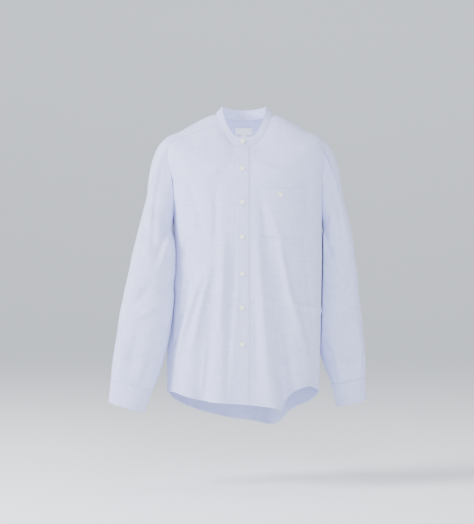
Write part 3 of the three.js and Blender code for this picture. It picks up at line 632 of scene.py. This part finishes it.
def cloth_material(name, blue=BLUE_THREAD, pale=PALE_THREAD, weave=0.00012):
    """Two-tone basket weave with slubs along both threads, on distances along the cloth."""
    material, tree, shader = node_maker(name)
    uv_map = tree.nodes.new("ShaderNodeUVMap")
    uv_map.uv_map = "cloth"
    uv = uv_map.outputs[0]
    split = tree.nodes.new("ShaderNodeSeparateXYZ")
    tree.links.new(uv, split.inputs[0])
    waves = []
    for axis in ("X", "Y"):
        turns = math_node(tree, "MULTIPLY", split.outputs[axis], math.pi / THREAD_PITCH)
        waves.append(math_node(tree, "SINE", turns))
    checks = math_node(tree, "MULTIPLY_ADD", math_node(tree, "MULTIPLY", *waves), 0.5, 0.5)
    warp = noise_on(tree, uv, 1.0, (1500, 26, 1), 4, 0.6)
    weft = noise_on(tree, uv, 1.0, (30, 1500, 1), 4, 0.6)
    thick_weft = noise_on(tree, uv, 1.0, (34, 430, 1), 3, 0.6)
    thick_warp = noise_on(tree, uv, 1.0, (430, 24, 1), 3, 0.6)
    blotches = noise_on(tree, uv, 1.0, (26, 20, 1), 3, 0.5)
    streaks = weighted_sum(tree, (warp, 0.55), (weft, 0.45))
    slubs = weighted_sum(tree, (thick_weft, 0.62), (thick_warp, 0.38))
    threads = ramp(tree, weighted_sum(tree, (checks, 0.22), (streaks, 1.1)), blue, pale, 0.35, 1.0)
    tones = ramp(tree, blotches, (0.955, 0.96, 0.97), (1, 1, 1), 0.35, 0.65)
    slub_tones = ramp(tree, slubs, (0.78, 0.81, 0.90), (1, 1, 1), 0.34, 0.60)
    colour = multiply_colours(tree, multiply_colours(tree, threads, tones), slub_tones)
    tree.links.new(colour, shader.inputs["Base Color"])
    tree.links.new(math_node(tree, "MULTIPLY_ADD", streaks, 0.14, 0.78), shader.inputs["Roughness"])
    set_sockets(shader, {"Sheen Weight": 0.18, "Sheen Roughness": 0.5, "Specular IOR Level": 0.25})
    bump = tree.nodes.new("ShaderNodeBump")
    set_sockets(bump, {"Strength": 0.5, "Distance": weave})
    tree.links.new(weighted_sum(tree, (checks, 0.7), (streaks, 0.9)), bump.inputs["Height"])
    tree.links.new(bump.outputs[0], shader.inputs["Normal"])
    return material


def button_material():
    material, tree, shader = node_maker("button")
    place = tree.nodes.new("ShaderNodeTexCoord")
    cloud = noise_on(tree, place.outputs["Object"], 260)
    colour = ramp(tree, cloud, (0.86, 0.83, 0.74), (0.96, 0.945, 0.89))
    tree.links.new(colour, shader.inputs["Base Color"])
    tree.links.new(math_node(tree, "MULTIPLY_ADD", cloud, 0.14, 0.2), shader.inputs["Roughness"])
    set_sockets(shader, {"Subsurface Weight": 0.15, "Subsurface Radius": (0.001, 0.0008, 0.0006),
                         "Coat Weight": 0.25})
    return material


def thread_material(name, colour):
    material, tree, shader = node_maker(name)
    place = tree.nodes.new("ShaderNodeTexCoord")
    ply = noise_on(tree, place.outputs["Object"], 2400, detail=2)
    shade = ramp(tree, ply, tuple(c * 0.82 for c in colour), colour)
    tree.links.new(shade, shader.inputs["Base Color"])
    set_sockets(shader, {"Roughness": 0.65, "Sheen Weight": 0.2})
    return material


cloth = cloth_material("shirt_cloth")
stiff = cloth_material("stiffened_cloth", tuple(c * 0.97 for c in BLUE_THREAD), PALE_THREAD, 0.0001)
label = cloth_material("label", (0.90, 0.90, 0.89), (0.97, 0.97, 0.96), 0.00008)
button = button_material()
# Real stitches, but their thread is painted darker than the cloth's own tonal thread, as painted shade along
# the edges of the pocket, placket, hems and seams.
sewing_darkened_as_shade = thread_material("sewing_thread_painted_shade", (0.34, 0.40, 0.64))
button_thread = thread_material("button_thread", (0.86, 0.84, 0.78))
stitches = Stitches()


def sew(node, points, normals, thick=SHELL, material=cloth, slot="cloth", piece=None, **more):
    """Makes the cloth that replaces a solid, named after it."""
    dress(shell((piece or node) + "_cloth", points, normals, thick, **more), material, slot, node)


def armhole_rows(count):
    """Ring numbers down an armhole, closer together toward the armpit."""
    return TIP + (PIT - TIP) * (1 - (1 - np.linspace(0, 1, count)) ** 1.6)


# Fronts, back and yoke.
YOKE_ROWS = between((0, 0.06, 1, 2, TIP - 0.06, TIP), (3, 12, 20, 16, 3))
BACK_ROWS = np.concatenate([armhole_rows(54)[:-1], between((PIT, 8.9, HEM), (138, 11))])
FRONT_ROWS = np.concatenate([YOKE_ROWS[:-1], BACK_ROWS])
FRONT_XS = np.concatenate([between((-16, -14.8, -9, -1), (2, 3, 4))[:-1],
                           between((-1, 13, 16, 151), (6, 3, 54))])
EDGE_SHARES = between((0, 0.93, 0.98, 1), (14, 2, 3))
UNDERLAP = CLOTH + OVER + 0.1
HEM_WIDE = 7
HEM_TURNED = 0.6  # cloth turned up inside the hem


def front_angles(side, v):
    """Directions of a front's columns in one row: even distances from the centre, then to its edge."""
    sign = 1 if side == "left" else -1
    if v < TIP:
        edge = -yoke_seam(v) if side == "left" else -math.pi + yoke_seam(v)
    else:
        edge = panel_edge(side, "front", v)
    edge_x = abs(body_point(edge, min(v, TIP), False)[..., 0])
    full_x = abs(body_point(panel_edge(side, "front", TIP), TIP, False)[..., 0])
    squeeze = (edge_x - PLACKET_FOLD) / (full_x - PLACKET_FOLD) if v < TIP else 1
    past_fold = np.maximum(FRONT_XS - PLACKET_FOLD, 0)
    angles = angle_at_x(sign * (np.minimum(FRONT_XS, PLACKET_FOLD) + past_fold * squeeze), v)
    return np.concatenate([angles[:-1], lerp(angles[-1], float(edge), EDGE_SHARES)])


def hemmed_panel(node, points, normals):
    """Turns up a panel's bottom edge, makes its cloth, and stitches the hem on both faces."""
    points = finish_edges(points, normals, ("bottom",), turned=0.3, wide=HEM_WIDE, pucker=0.35, reach=10)
    away = edge_distances(points, "bottom")
    thick = SHELL + HEM_TURNED * (1 - smooth(HEM_WIDE - 0.4, HEM_WIDE + 0.4, away))
    sew(node, points, normals, thick, uvs=upright_uvs(points))
    stitches.along_edges(points, normals, (("bottom", HEM_WIDE - 1),))
    stitches.along_edges(points - normals * thick[..., None], -normals, (("bottom", HEM_WIDE - 1),))
    return points


for side in ("left", "right"):
    angles = np.array([front_angles(side, v) for v in FRONT_ROWS])
    points, normals = body_grid(angles, FRONT_ROWS[:, None])
    if side == "right":
        points = points - normals * (UNDERLAP * smooth(-48, -22, points[..., 0]))[..., None]
    draw_back(points, ("end", "top"))
    points = finish_edges(points, normals, ("end",), pucker=0.2, reach=9)
    points = finish_edges(points, normals, ("top",), pucker=0.12)
    hemmed_panel("front_" + side, points, normals)

back_edges = [panel_edge(side, "back", BACK_ROWS)[:, None] for side in ("left", "right")]
back_shares = between((0, 0.008, 0.025, 0.975, 0.992, 1), (3, 3, 120, 3, 3))
angles = lerp(back_edges[0], back_edges[1] + 2 * math.pi, back_shares)
points, normals = body_grid(angles, BACK_ROWS[:, None])
draw_back(points, ("start", "end", "top"))
points = finish_edges(points, normals, ("start", "end", "top"), pucker=0.2, reach=9)
points = hemmed_panel("back", points, normals)
stitches.along_edges(points, normals, (("start", 2), ("start", 7), ("end", 2), ("end", 7)), (4, -6))

yoke_turn = ARMHOLE_TOP * RAD
over = np.linspace(yoke_turn, math.pi - yoke_turn, 121)[1:-1]
yoke_angles = []
for seam in yoke_seam(YOKE_ROWS):
    left = between((-seam, -seam * 0.9, yoke_turn), (4, 22))
    yoke_angles.append(np.concatenate([left, over, math.pi - left[::-1]]))
points, normals = body_grid(np.array(yoke_angles), YOKE_ROWS[:, None])
draw_back(points, ("start", "end", "top", "bottom"))
points = finish_edges(points, normals, ("start", "end", "bottom"), pucker=0.15, roll=0.25)
sew("yoke", points, normals)
stitches.along_edges(points, normals, (("start", 1.8), ("end", 1.8), ("bottom", 1.8)), (2, -2))

# Placket: a folded strip on the left front, stitched along both of its edges.
PLACKET_THICK = 1.0
placket_xs = between((-16, -14.6, -10.5, 9.5, 13, PLACKET_FOLD), (5, 5, 10, 5, 5))
points, normals = body_grid(angle_at_x(placket_xs, FRONT_ROWS[:, None]), FRONT_ROWS[:, None])
raised = points + normals * (OVER + PLACKET_THICK)
raised[0] = lerp(raised[0], raised[4], 0.6)
rolled = finish_edges(raised, normals, ("start", "end"), roll=0.8, pucker=0.2, reach=6)
rolled = finish_edges(rolled, normals, ("bottom",), roll=0.3, pucker=0.2)
sew("placket", rolled, normals, thickness_left(raised, rolled, normals, PLACKET_THICK))
stitches.along_edges(rolled, normals, (("start", 5.5), ("end", 5.5)), (3, -2))


def place_on_body(x, z, face):
    """Direction and ring number of the body's cloth at x and z."""
    x, z = np.broadcast_arrays(np.asarray(x, float), np.asarray(z, float))
    low, high = np.zeros(x.shape), np.full(x.shape, float(HEM))
    for _ in range(28):
        middle = (low + high) / 2
        above = body_point(angle_at_x(x, middle, face), middle, False)[..., 2] > z
        low = np.where(above, middle, low)
        high = np.where(above, high, middle)
    v = (low + high) / 2
    return angle_at_x(x, v, face), v

# Chest pocket: a patch with a turned mouth and a blunt point below.
POCKET = {"left": 37, "right": 150, "top": -190, "side": -304, "point": -316}
POCKET_HEM = 32
POCKET_BELLY = 0.9  # how far it stands out in its middle
down = between((0, 0.012, 0.24, 0.28, 0.985, 1), (3, 16, 6, 44, 3))[:, None]
across = between((0, 0.014, 0.986, 1), (4, 44, 4))
pocket_x = lerp(POCKET["left"], POCKET["right"], across)
pocket_low = lerp(POCKET["point"], POCKET["side"], np.abs(2 * across - 1))
pocket_z = lerp(POCKET["top"], pocket_low, down)
points, normals = body_grid(*place_on_body(pocket_x, pocket_z, "front"))
belly = np.sin(math.pi * across) * np.sin(math.pi * np.clip(down * 0.9 + 0.18, 0, 1))
raised = points + normals * (PATCH_OVER + SHELL + POCKET_BELLY * belly)[..., None]
pocket = finish_edges(raised, normals, ("top",), roll=0.6, turned=0.5, wide=POCKET_HEM, pucker=0.15)
pocket = finish_edges(pocket, normals, ("start", "end", "bottom"), roll=0.8, pucker=0.3, reach=5)
sew("chest_pocket", pocket, normals, thickness_left(raised, pocket, normals, SHELL), piece="pocket")
pocket_rows = (("start", 1.6), ("end", 1.6), ("bottom", 1.6), ("top", POCKET_HEM - 1.5))
stitches.along_edges(pocket, normals, pocket_rows, (2, -2))

# Labels inside the yoke, both bare.
for name, left, right, top, bottom in (("neck_label", -19, 24, -27, -44), ("size_tab", -5, 9, -44.5, -51)):
    xs, zs = np.linspace(left, right, 23), np.linspace(top, bottom, 15)
    points, normals = body_grid(*place_on_body(xs, zs[:, None], "back"))
    sew(name, points - normals * (CLOTH + LABEL_OVER), normals, LABEL_THICK, label, "label")

# Collar band.
LEAN = {"side": 0.62, "front": 0.42, "back": 0.16}
BAND = {"underX": 12, "overX": -25, "corner": 9}
BAND_SINK = STIFF + OVER + 0.1
BAND_EASE = (32, 62)  # degrees from its end over which the lower layer comes up
BAND_PROUD = (STIFF - CLOTH) / 2
BAND_START = float(angle_at_x(BAND["underX"], 0))
BAND_END = float(angle_at_x(BAND["overX"], 0)) - 2 * math.pi


def band_frame(turn):
    step = 1e-3
    along = unit(body_point(turn + step, 0, False) - body_point(turn - step, 0, False))
    c, s = np.cos(turn), np.sin(turn)
    lean = lerp(np.where(s < 0, LEAN["front"], LEAN["back"]), LEAN["side"], c * c)
    up = np.stack([-c * lean, -s * lean, np.sqrt(1 - lean * lean)], -1)
    return body_point(turn, 0, False), up, unit(np.cross(along, up))


def band_point(turn, high, out):
    turn, high = np.broadcast_arrays(np.asarray(turn, float), np.asarray(high, float))
    base, up, away = band_frame(turn)
    sink = BAND_SINK * (1 - smooth(*BAND_EASE, np.abs(turn - BAND_START) / RAD))
    to_end = np.minimum(np.abs(turn - BAND_START), np.abs(turn - BAND_END)) * RINGS[0, 0]
    short = BAND["corner"] - np.minimum(BAND["corner"], to_end)
    cut = BAND["corner"] - np.sqrt(BAND["corner"] ** 2 - short ** 2)
    rise = SEAM / 2 + (BAND_HEIGHT - cut) * high
    return base + up * rise[..., None] + away * (out - sink)[..., None], away


band_turns = np.concatenate([between((BAND_START, BAND_START - 0.02, BAND_START - 0.2), (3, 12))[:-1],
                             np.linspace(BAND_START - 0.2, BAND_END + 0.2, 170)[:-1],
                             between((BAND_END + 0.2, BAND_END + 0.02, BAND_END), (12, 3))])
band_rows = between((0, 0.06, 0.94, 1), (3, 14, 4))
points, normals = band_point(band_turns[None, :], band_rows[:, None], BAND_PROUD)
waves = 0.35 * np.sin(band_turns * 5.3 + 0.7) + 0.25 * np.sin(band_turns * 9.1 + 2)
points = points + normals * (waves[None, :] * band_rows[:, None] ** 1.5)[..., None]
points = finish_edges(points, normals, ("start", "end", "top", "bottom"), roll=0.5, pucker=0.12, reach=5)
sew("collar_band", points, normals, STIFF_SHELL, stiff)
stitches.along_edges(points, normals, (("top", 1.6), ("bottom", 1.6), ("end", 1.6)), (4, -4))

# Sleeves.
SLEEVE_ROUND = 50  # radius that turns a direction into a distance, for placing creases
SLEEVE_RUN = 85  # distance down the sleeve from one section to the next

# Creases of the sleeves by direction round the sleeve, 90 front, and section, -1 at the armhole.
SLEEVE_CREASES = {
    "right": (
        (((64, -0.6), (78, 0.6), (92, 1.6)), 8, 11, -1.8),
        (((30, -0.3), (40, 1.2), (52, 2.6)), 10, 9, 1.6),
        (((122, -0.2), (112, 0.8), (96, 1.9)), 8, 10, -2.2),
        (((140, 0.4), (120, 1.3), (98, 2.0)), 7, 9, 1.8),
        (((96, 2.2), (74, 2.8), (44, 3.1)), 8, 9, -2.0),
        (((110, 2.9), (84, 3.2), (60, 3.2)), 7, 8, 1.6),
        (((84, 3.3), (78, 4.4), (84, 5.5)), 9, 11, -1.8),
        (((40, 3.6), (48, 4.6), (56, 5.8)), 8, 10, 1.6),
        (((126, 4.0), (116, 5.0), (120, 5.9)), 8, 8, -1.6),
        (((-60, -0.5), (-72, 0.8), (-86, 1.8)), 9, 11, -2.0),
        (((-120, 0.1), (-104, 1.2), (-84, 2.1)), 8, 10, 1.9),
        (((-140, 1.0), (-112, 1.9), (-84, 2.5)), 7, 9, -2.2),
        (((-70, 2.7), (-100, 3.1), (-130, 3.2)), 8, 9, 1.8),
        (((-40, 3.2), (-52, 4.3), (-62, 5.6)), 9, 10, -1.8),
        (((-110, 3.6), (-104, 4.8), (-96, 5.8)), 8, 9, 1.7),
        (((6, 1.8), (2, 2.4), (-14, 2.7)), 7, 8, -1.6),
    ),
    "left": (
        (((62, -0.5), (70, 0.7), (66, 1.9)), 9, 10, -1.7),
        (((112, -0.1), (96, 1.0), (86, 2.0)), 8, 11, 1.7),
        (((136, 0.3), (118, 1.2), (90, 1.8)), 7, 9, -2.0),
        (((20, 1.0), (10, 1.7), (-10, 2.0)), 8, 9, -1.8),
        (((36, 1.7), (58, 2.1), (84, 2.2)), 7, 8, -1.9),
        (((24, 2.1), (52, 2.5), (88, 2.5)), 7, 8, 1.8),
        (((80, 2.7), (88, 3.8), (80, 5.0)), 9, 11, -1.7),
        (((46, 3.0), (42, 4.2), (50, 5.6)), 10, 8, 1.6),
        (((118, 3.6), (110, 4.7), (114, 5.8)), 8, 9, 1.6),
        (((14, 4.4), (30, 5.1), (52, 5.4)), 7, 8, -1.6),
        (((-64, -0.4), (-76, 0.8), (-70, 2.0)), 9, 11, -1.9),
        (((-116, 0.0), (-106, 1.1), (-94, 2.2)), 8, 10, 1.8),
        (((-136, 1.2), (-108, 1.8), (-78, 2.2)), 7, 9, -2.1),
        (((-62, 2.9), (-92, 3.3), (-124, 3.3)), 8, 9, 1.8),
        (((-48, 3.4), (-58, 4.5), (-54, 5.7)), 9, 10, -1.7),
        (((-116, 3.8), (-108, 4.9), (-100, 5.9)), 8, 9, 1.6),
    ),
}
LAST_SECTION = 6
CUFF_ROUND = 34  # radius that turns a direction into a distance there
# Pleats where the sleeve is gathered into its cuff: direction, width, depth.
CUFF_PLEATS = ((-66, 4.5, -2.6), (-84, 5, 1.8), (-100, 4.5, -2.4), (-122, 7, 1.2), (60, 9, 0.9),
               (96, 9, -0.9), (20, 8, -0.7), (140, 9, 0.9))


def section_at(rows, t, side):
    found = table_at(rows, t)
    sign = 1 if side == "left" else -1
    outer = np.stack([sign * found[..., 0], found[..., 4], found[..., 1]], -1)
    inner = np.stack([sign * found[..., 2], found[..., 4], found[..., 3]], -1)
    return (outer + inner) / 2, (outer - inner) / 2, found[..., 5]


def section_point(section, turn, grow=0.0):
    middle, wide, deep = section
    power = 2 / SLEEVE_SQUARE
    across = signed_power(np.cos(turn), power) * (1 + grow / np.linalg.norm(wide, axis=-1))
    forward = signed_power(np.sin(turn), power) * (deep + grow)
    point = middle + wide * across[..., None]
    return point - forward[..., None] * np.array([0.0, 1.0, 0.0])


def keep_clear(points, full_clear):
    top = RINGS[PIT, RING_KEYS.index("zSide")]
    clear = full_clear * lerp(PIT_CLEAR, 1, smooth(0, PIT_RUN, top - points[..., 2]))
    ring = ring_at(ring_number(points[..., 2]))
    y_side = ring["ySide"]
    front = points[..., 1] < y_side
    depth = np.where(front, y_side - ring["yFront"], ring["yBack"] - y_side) + clear
    share = np.minimum(1, np.abs(points[..., 1] - y_side) / depth)
    reach = (1 - share ** ring["square"]) ** (1 / ring["square"]) * (ring["half"] + clear)
    sign = np.sign(points[..., 0])
    limit = sign * ring["cx"] + reach
    inside = (sign * points[..., 0] < limit) & (points[..., 2] <= top + PIT_REACH)
    points[..., 0] = np.where(inside, sign * limit, points[..., 0])
    return points


def sleeve_fold_offset(t, turn):
    out = np.zeros(np.broadcast(t, turn).shape)
    for at, fold_turn, climb, width, reach, depth in SLEEVE_FOLDS:
        beside = turn_from(turn, fold_turn * RAD)
        across = (t - at - climb * beside / (2 * math.pi)) / width
        out += depth * np.exp(-across ** 2 - (beside / (reach * RAD)) ** 2)
    return out


def sleeve_crease(side, t, turn):
    lines = [([(math.radians(d) * SLEEVE_ROUND, s * SLEEVE_RUN) for d, s in points], wide, far, height)
             for points, wide, far, height in SLEEVE_CREASES[side]]
    out = crease_offset(turn * SLEEVE_ROUND, t * SLEEVE_RUN, lines, 2 * math.pi * SLEEVE_ROUND)
    for direction, width, depth in CUFF_PLEATS:
        spread = width * (1 + 0.5 * np.maximum(0, LAST_SECTION - t))
        beside = turn_from(turn, direction * RAD) * CUFF_ROUND / spread
        fading = smooth(5.0, 5.95, t) * (1 - 0.6 * smooth(5.93, 6.0, t))
        out = out + depth * np.exp(-beside ** 2) * fading
    return out


def armhole(side):
    """Points and normals round an armhole, and the number of its top point."""
    rows = armhole_rows(60)
    over = np.linspace(-ARMHOLE_TOP, ARMHOLE_TOP, 25)[1:-1] * RAD
    if side == "right":
        over = -math.pi - over
    down_front, down_back = (panel_edge(side, face, rows) for face in ("front", "back"))
    angles = np.concatenate([down_front[::-1], over, down_back[:-1]])
    v = np.concatenate([rows[::-1], np.full(len(over), float(TIP)), rows[:-1]])
    return body_point(angles, v, False), body_normal(angles, v, False), len(rows) + len(over) // 2


def sleeve_grid(side):
    hole, hole_normals, top = armhole(side)
    count = len(hole)
    reached = path_lengths(np.concatenate([hole, hole[:1]]))
    before_top = np.arange(count) <= top
    turns = np.where(before_top, 1 - reached[:-1] / reached[top],
                     -(reached[:-1] - reached[top]) / (reached[-1] - reached[top])) * math.pi
    along = unit(np.roll(hole, -1, 0) - np.roll(hole, 1, 0))
    leaving = np.cross(hole_normals, along)
    sign = 1 if side == "left" else -1
    handed = 1 if np.sign(leaving[top, 0]) == sign else -1
    under = ((1 - np.cos(turns)) / 2) ** 1.5
    lift = PIT_LIFT * under
    leave = leaving * (handed * np.cos(lift))[:, None] + hole_normals * np.sin(lift)[:, None]
    first = section_at(SLEEVES[side], np.zeros(count), side)
    end = keep_clear(section_point(first, turns), SLEEVE_CLEAR)
    leave = lerp(leave, unit(end - hole), (CAP_AIM * (1 - under))[:, None])
    over_top = 1 - smooth(0, CAP_HALF, np.abs(turns))
    cap_leave = np.array([sign * math.cos(CAP_SLOPE), 0, -math.sin(CAP_SLOPE)])
    leave = unit(lerp(leave, cap_leave, over_top[:, None]))
    start = hole + leave * SLEEVE_SEAM
    reach = lerp(lerp(SIDE_REACH, CAP_REACH, over_top), PIT_REACH, under)
    turning = hole + leave * reach[:, None]
    s = between((0, 0.04, 1), (4, 26))[:-1, None, None]
    cap = start * (1 - s) ** 2 + turning * 2 * s * (1 - s) + end * s * s
    t = between((0, 5.9, 6), (140, 6))[:, None]
    tube = section_point(section_at(SLEEVES[side], t, side), turns, sleeve_fold_offset(t, turns))
    points = np.concatenate([cap, keep_clear(tube, SLEEVE_CLEAR)])
    return points, turns, np.concatenate([s[:, 0] - 1, t])


CUFF_LAP = {"start": -58, "over": 36, "ease": 24}
CUFF_SINK = STIFF + OVER + 0.1
CUFF_PROUD = 0.3
PLACKET_TURN = -45
PLACKET_ROWS = slice(-48, -1)
PLACKET_COLUMNS = 7  # on either side of its middle
buttons = []


def sleeve(side):
    points, turns, t = sleeve_grid(side)
    normals = outward_normals(points, points.mean(1, keepdims=True), True)
    points = points + normals * sleeve_crease(side, t, turns)[..., None]
    points = keep_clear(points, SLEEVE_CLEAR - 2)
    normals = outward_normals(points, points.mean(1, keepdims=True), True)
    points = finish_edges(points, normals, ("top",), roll=0.3, pucker=0.25, reach=9)
    points = finish_edges(points, normals, ("bottom",), roll=0.2, pucker=0.2)
    sew("sleeve_" + side, points, normals, wrapped=True)

    nearest = int(np.argmin(np.abs(turns - PLACKET_TURN * RAD)))
    columns = slice(nearest - PLACKET_COLUMNS, nearest + PLACKET_COLUMNS + 1)
    strip_normals = normals[PLACKET_ROWS, columns]
    strip = points[PLACKET_ROWS, columns] + strip_normals * (OVER + SHELL)
    sew("sleeve_placket_" + side, strip, strip_normals)
    stitches.along_edges(strip, strip_normals, (("start", 1.4), ("end", 1.4)))


def cuff(side):
    under, over = CUFF_LAP["start"], CUFF_LAP["start"] + 360 + CUFF_LAP["over"]
    turns = between((under, under + 4, over - 4, over), (4, 130, 4)) * RAD
    t = between((SEAM / 60, 0.05, 0.95, 1), (4, 24, 4))[:, None]
    ease = smooth(CUFF_LAP["over"], CUFF_LAP["over"] + CUFF_LAP["ease"], turns / RAD - under)
    section = section_at(np.array([SLEEVES[side][-1], CUFFS[side]]), t, side)
    points = section_point(section, turns, CUFF_PROUD - CUFF_SINK * (1 - ease))
    normals = outward_normals(points, section[0])
    points = finish_edges(points, normals, ("top", "bottom", "start", "end"), roll=0.6, pucker=0.15, reach=5)
    sew("cuff_" + side, points, normals, STIFF_SHELL, stiff)
    stitches.along_edges(points, normals, (("top", 1.6), ("bottom", 5.5), ("end", 1.6)), (2, -2))

    button_turn = (under + CUFF_LAP["over"] * 0.5) * RAD + 2 * math.pi
    column = int(np.argmin(np.abs(turns - button_turn)))
    row = len(t) // 2
    buttons.append(("button_cuff_" + side, points[row, column], normals[row, column]))


for side in ("left", "right"):
    sleeve(side)
    cuff(side)

# Buttons.
FRONT_BUTTONS = (-143, -225, -309, -398, -481, -570)
BUTTON_X = -2.5
COLLAR_BUTTON_X = -1.5
POCKET_BUTTON = (90, -206)
HOLE_AWAY = 1.25
HOLE_RADIUS = 0.62
BUTTON_THREAD = {"lift": 0.35, "height": 1.5, "past": 1.2, "apart": 0.18, "radius": 0.2}


def front_button(name, x, z, out):
    point, normal = body_grid(*place_on_body(x, z, "front"))
    buttons.append((name, point + normal * out, normal))


for number, z in enumerate(FRONT_BUTTONS, 1):
    front_button("button_front_%d" % number, BUTTON_X, z, OVER + PLACKET_THICK)
front_button("button_pocket", *POCKET_BUTTON, PATCH_OVER + SHELL + POCKET_BELLY)
collar_turn = float(angle_at_x(COLLAR_BUTTON_X, 0)) - 2 * math.pi
point, normal = band_point(collar_turn, 0.5, BAND_PROUD)
buttons.append(("button_collar", point + normal * 0.3, normal))
buttons = [(name, np.ravel(place), np.ravel(normal)) for name, place, normal in buttons]

BUTTONHOLE = {"half": 8.5, "pitch": 0.7, "slit": 0.35, "side": 2.0, "thread": 0.14, "bar": 0.25}
UPRIGHT = np.array([0.0, 0.0, 1.0])


def buttonhole(place, normal, along):
    """Close stitches down both sides of a slit, and a bar over each of its ends."""
    along = unit(along - normal * np.dot(along, normal))
    across = np.cross(along, normal)
    for t in np.arange(-BUTTONHOLE["half"], BUTTONHOLE["half"], BUTTONHOLE["pitch"]):
        for side in (-across, across):
            stitches.add(place + along * t + side * BUTTONHOLE["slit"],
                         place + along * t + side * BUTTONHOLE["side"], normal, BUTTONHOLE["thread"])
    for end in (-along, along):
        bar = place + end * (BUTTONHOLE["half"] + BUTTONHOLE["pitch"])
        stitches.add(bar - across * BUTTONHOLE["side"], bar + across * BUTTONHOLE["side"], normal,
                     BUTTONHOLE["bar"])


for name, place, normal in buttons:
    upright = name.startswith("button_front") or name == "button_pocket"
    buttonhole(place, normal, UPRIGHT if upright else np.cross(UPRIGHT, normal))


def button_mesh():
    """Turned four-hole button with a rim, in its own axes, lying in x and y."""
    profile = ((0.0, 1.35), (1.6, 1.35), (3.1, 1.45), (3.7, 1.75), (4.1, 2.2), (4.6, 2.32), (5.1, 2.15),
               (5.4, 1.7), (5.5, 1.2), (5.3, 0.6), (4.6, 0.15), (3.4, 0.0), (0.0, 0.0))
    sides = 48
    vertices, rings, faces = [], [], []
    for radius, z in profile:
        count = sides if radius else 1
        rings.append([len(vertices) + k % count for k in range(sides)])
        for k in range(count):
            turn = 2 * math.pi * k / sides
            vertices.append((radius * math.cos(turn), radius * math.sin(turn), z))
    for low, high in zip(rings, rings[1:]):
        for k in range(sides):
            n = (k + 1) % sides
            faces.append(tuple(dict.fromkeys((low[k], high[k], high[n], low[n]))))
    body = new_mesh("button", vertices, faces, smooth_shaded=False)
    drills = []
    for x, y in ((1, 1), (-1, 1), (-1, -1), (1, -1)):
        bpy.ops.mesh.primitive_cylinder_add(vertices=16, radius=HOLE_RADIUS * MM, depth=6 * MM,
                                            location=(x * HOLE_AWAY * MM, y * HOLE_AWAY * MM, MM))
        drills.append(bpy.context.object)
        cut = body.modifiers.new("hole", "BOOLEAN")
        cut.object = drills[-1]
        cut.operation = "DIFFERENCE"
        cut.solver = "EXACT"
    evaluated = body.evaluated_get(bpy.context.evaluated_depsgraph_get())
    finished = bpy.data.meshes.new_from_object(evaluated)
    for obj in (*drills, body):
        bpy.data.objects.remove(obj, do_unlink=True)
    finished.shade_smooth()
    finished.set_sharp_from_angle(angle=math.radians(40))
    return finished


turned_button = button_mesh()
button_stitches = Stitches()
for name, place, normal in buttons:
    tilt = Vector((0, 0, 1)).rotation_difference(Vector(normal))
    obj = add_object(name + "_turned", turned_button.copy())
    seat = place + normal * BUTTON_THREAD["lift"]
    for vertex in obj.data.vertices:
        vertex.co = tilt @ vertex.co + Vector(seat * MM)
    dress(obj, button, "button", name)
    top = seat + normal * BUTTON_THREAD["height"]
    right, up = np.array(tilt @ Vector((1, 0, 0))), np.array(tilt @ Vector((0, 1, 0)))
    half = up * HOLE_AWAY * BUTTON_THREAD["past"]
    for across in (-HOLE_AWAY, HOLE_AWAY):
        for shift in (-BUTTON_THREAD["apart"], BUTTON_THREAD["apart"]):
            middle = top + right * (across + shift)
            button_stitches.add(middle - half, middle + half, normal, BUTTON_THREAD["radius"])

for name, made, material in (("seam_stitches", stitches, sewing_darkened_as_shade),
                             ("button_threads", button_stitches, button_thread)):
    dress(new_mesh(name, made.vertices, made.faces), material, "cloth")

# Camera at the photo's viewing angle.
FOCAL_PIXELS, IMAGE_WIDTH = 1600, 474
camera_data = bpy.data.cameras.new("camera")
camera_data.sensor_fit = "HORIZONTAL"
camera_data.sensor_width = 36.0
camera_data.lens = FOCAL_PIXELS / IMAGE_WIDTH * camera_data.sensor_width
camera = add_object("camera", camera_data)
camera.location = (-0.015, -4.0, -0.370)
camera.rotation_euler = (math.radians(90), 0, 0)
bpy.context.scene.camera = camera


# Pale floor that curves up into a backdrop, and soft light.
def studio():
    depth, rise, bend, wide = 9.0, 8.0, 2.5, 14.0
    low = -0.93
    line = [(-7.0, low), (depth - bend, low)]
    for k in range(1, 13):
        turn = k / 12 * math.pi / 2
        line.append((depth - bend + bend * math.sin(turn), low + bend * (1 - math.cos(turn))))
    line.append((depth, low + rise))
    vertices = [(x, y, z) for y, z in line for x in (-wide, wide)]
    faces = [(2 * k, 2 * k + 1, 2 * k + 3, 2 * k + 2) for k in range(len(line) - 1)]
    mesh = bpy.data.meshes.new("floor")
    mesh.from_pydata(vertices, [], faces)
    mesh.shade_smooth()
    obj = add_object("floor", mesh)
    material, tree, shader = node_maker("paper")
    set_sockets(shader, {"Base Color": (0.80, 0.83, 0.885, 1), "Roughness": 0.95,
                         "Emission Color": (0.80, 0.84, 0.90, 1), "Emission Strength": 0.42})
    mesh.materials.append(material)


studio()
LIGHTS = (
    ("key", (-3.1, -1.3, 1.2), 1.3, 305),
    ("front", (0.2, -4.2, 0.5), 1.4, 98),
    ("neck", (0.0, -1.7, 0.95), 0.5, 14),
    ("inside", (0.003, -0.045, -0.23), 0.09, 0.48),
    ("fill", (2.7, -1.9, 0.0), 2.2, 70),
    ("top", (0.2, 0.6, 2.4), 1.8, 24),
)
for name, place, size, watts in LIGHTS:
    data = bpy.data.lights.new(name, "AREA")
    data.size = size
    data.energy = watts
    lamp = add_object(name, data)
    lamp.location = place
    aim = Vector((0, 0, -0.02 if name in ("inside", "neck") else -0.36)) - Vector(place)
    lamp.rotation_euler = aim.to_track_quat("-Z", "Y").to_euler()
world = bpy.data.worlds.new("studio")
world.use_nodes = True
world.node_tree.nodes["Background"].inputs["Color"].default_value = (0.86, 0.89, 0.95, 1)
world.node_tree.nodes["Background"].inputs["Strength"].default_value = 0.30
bpy.context.scene.world = world
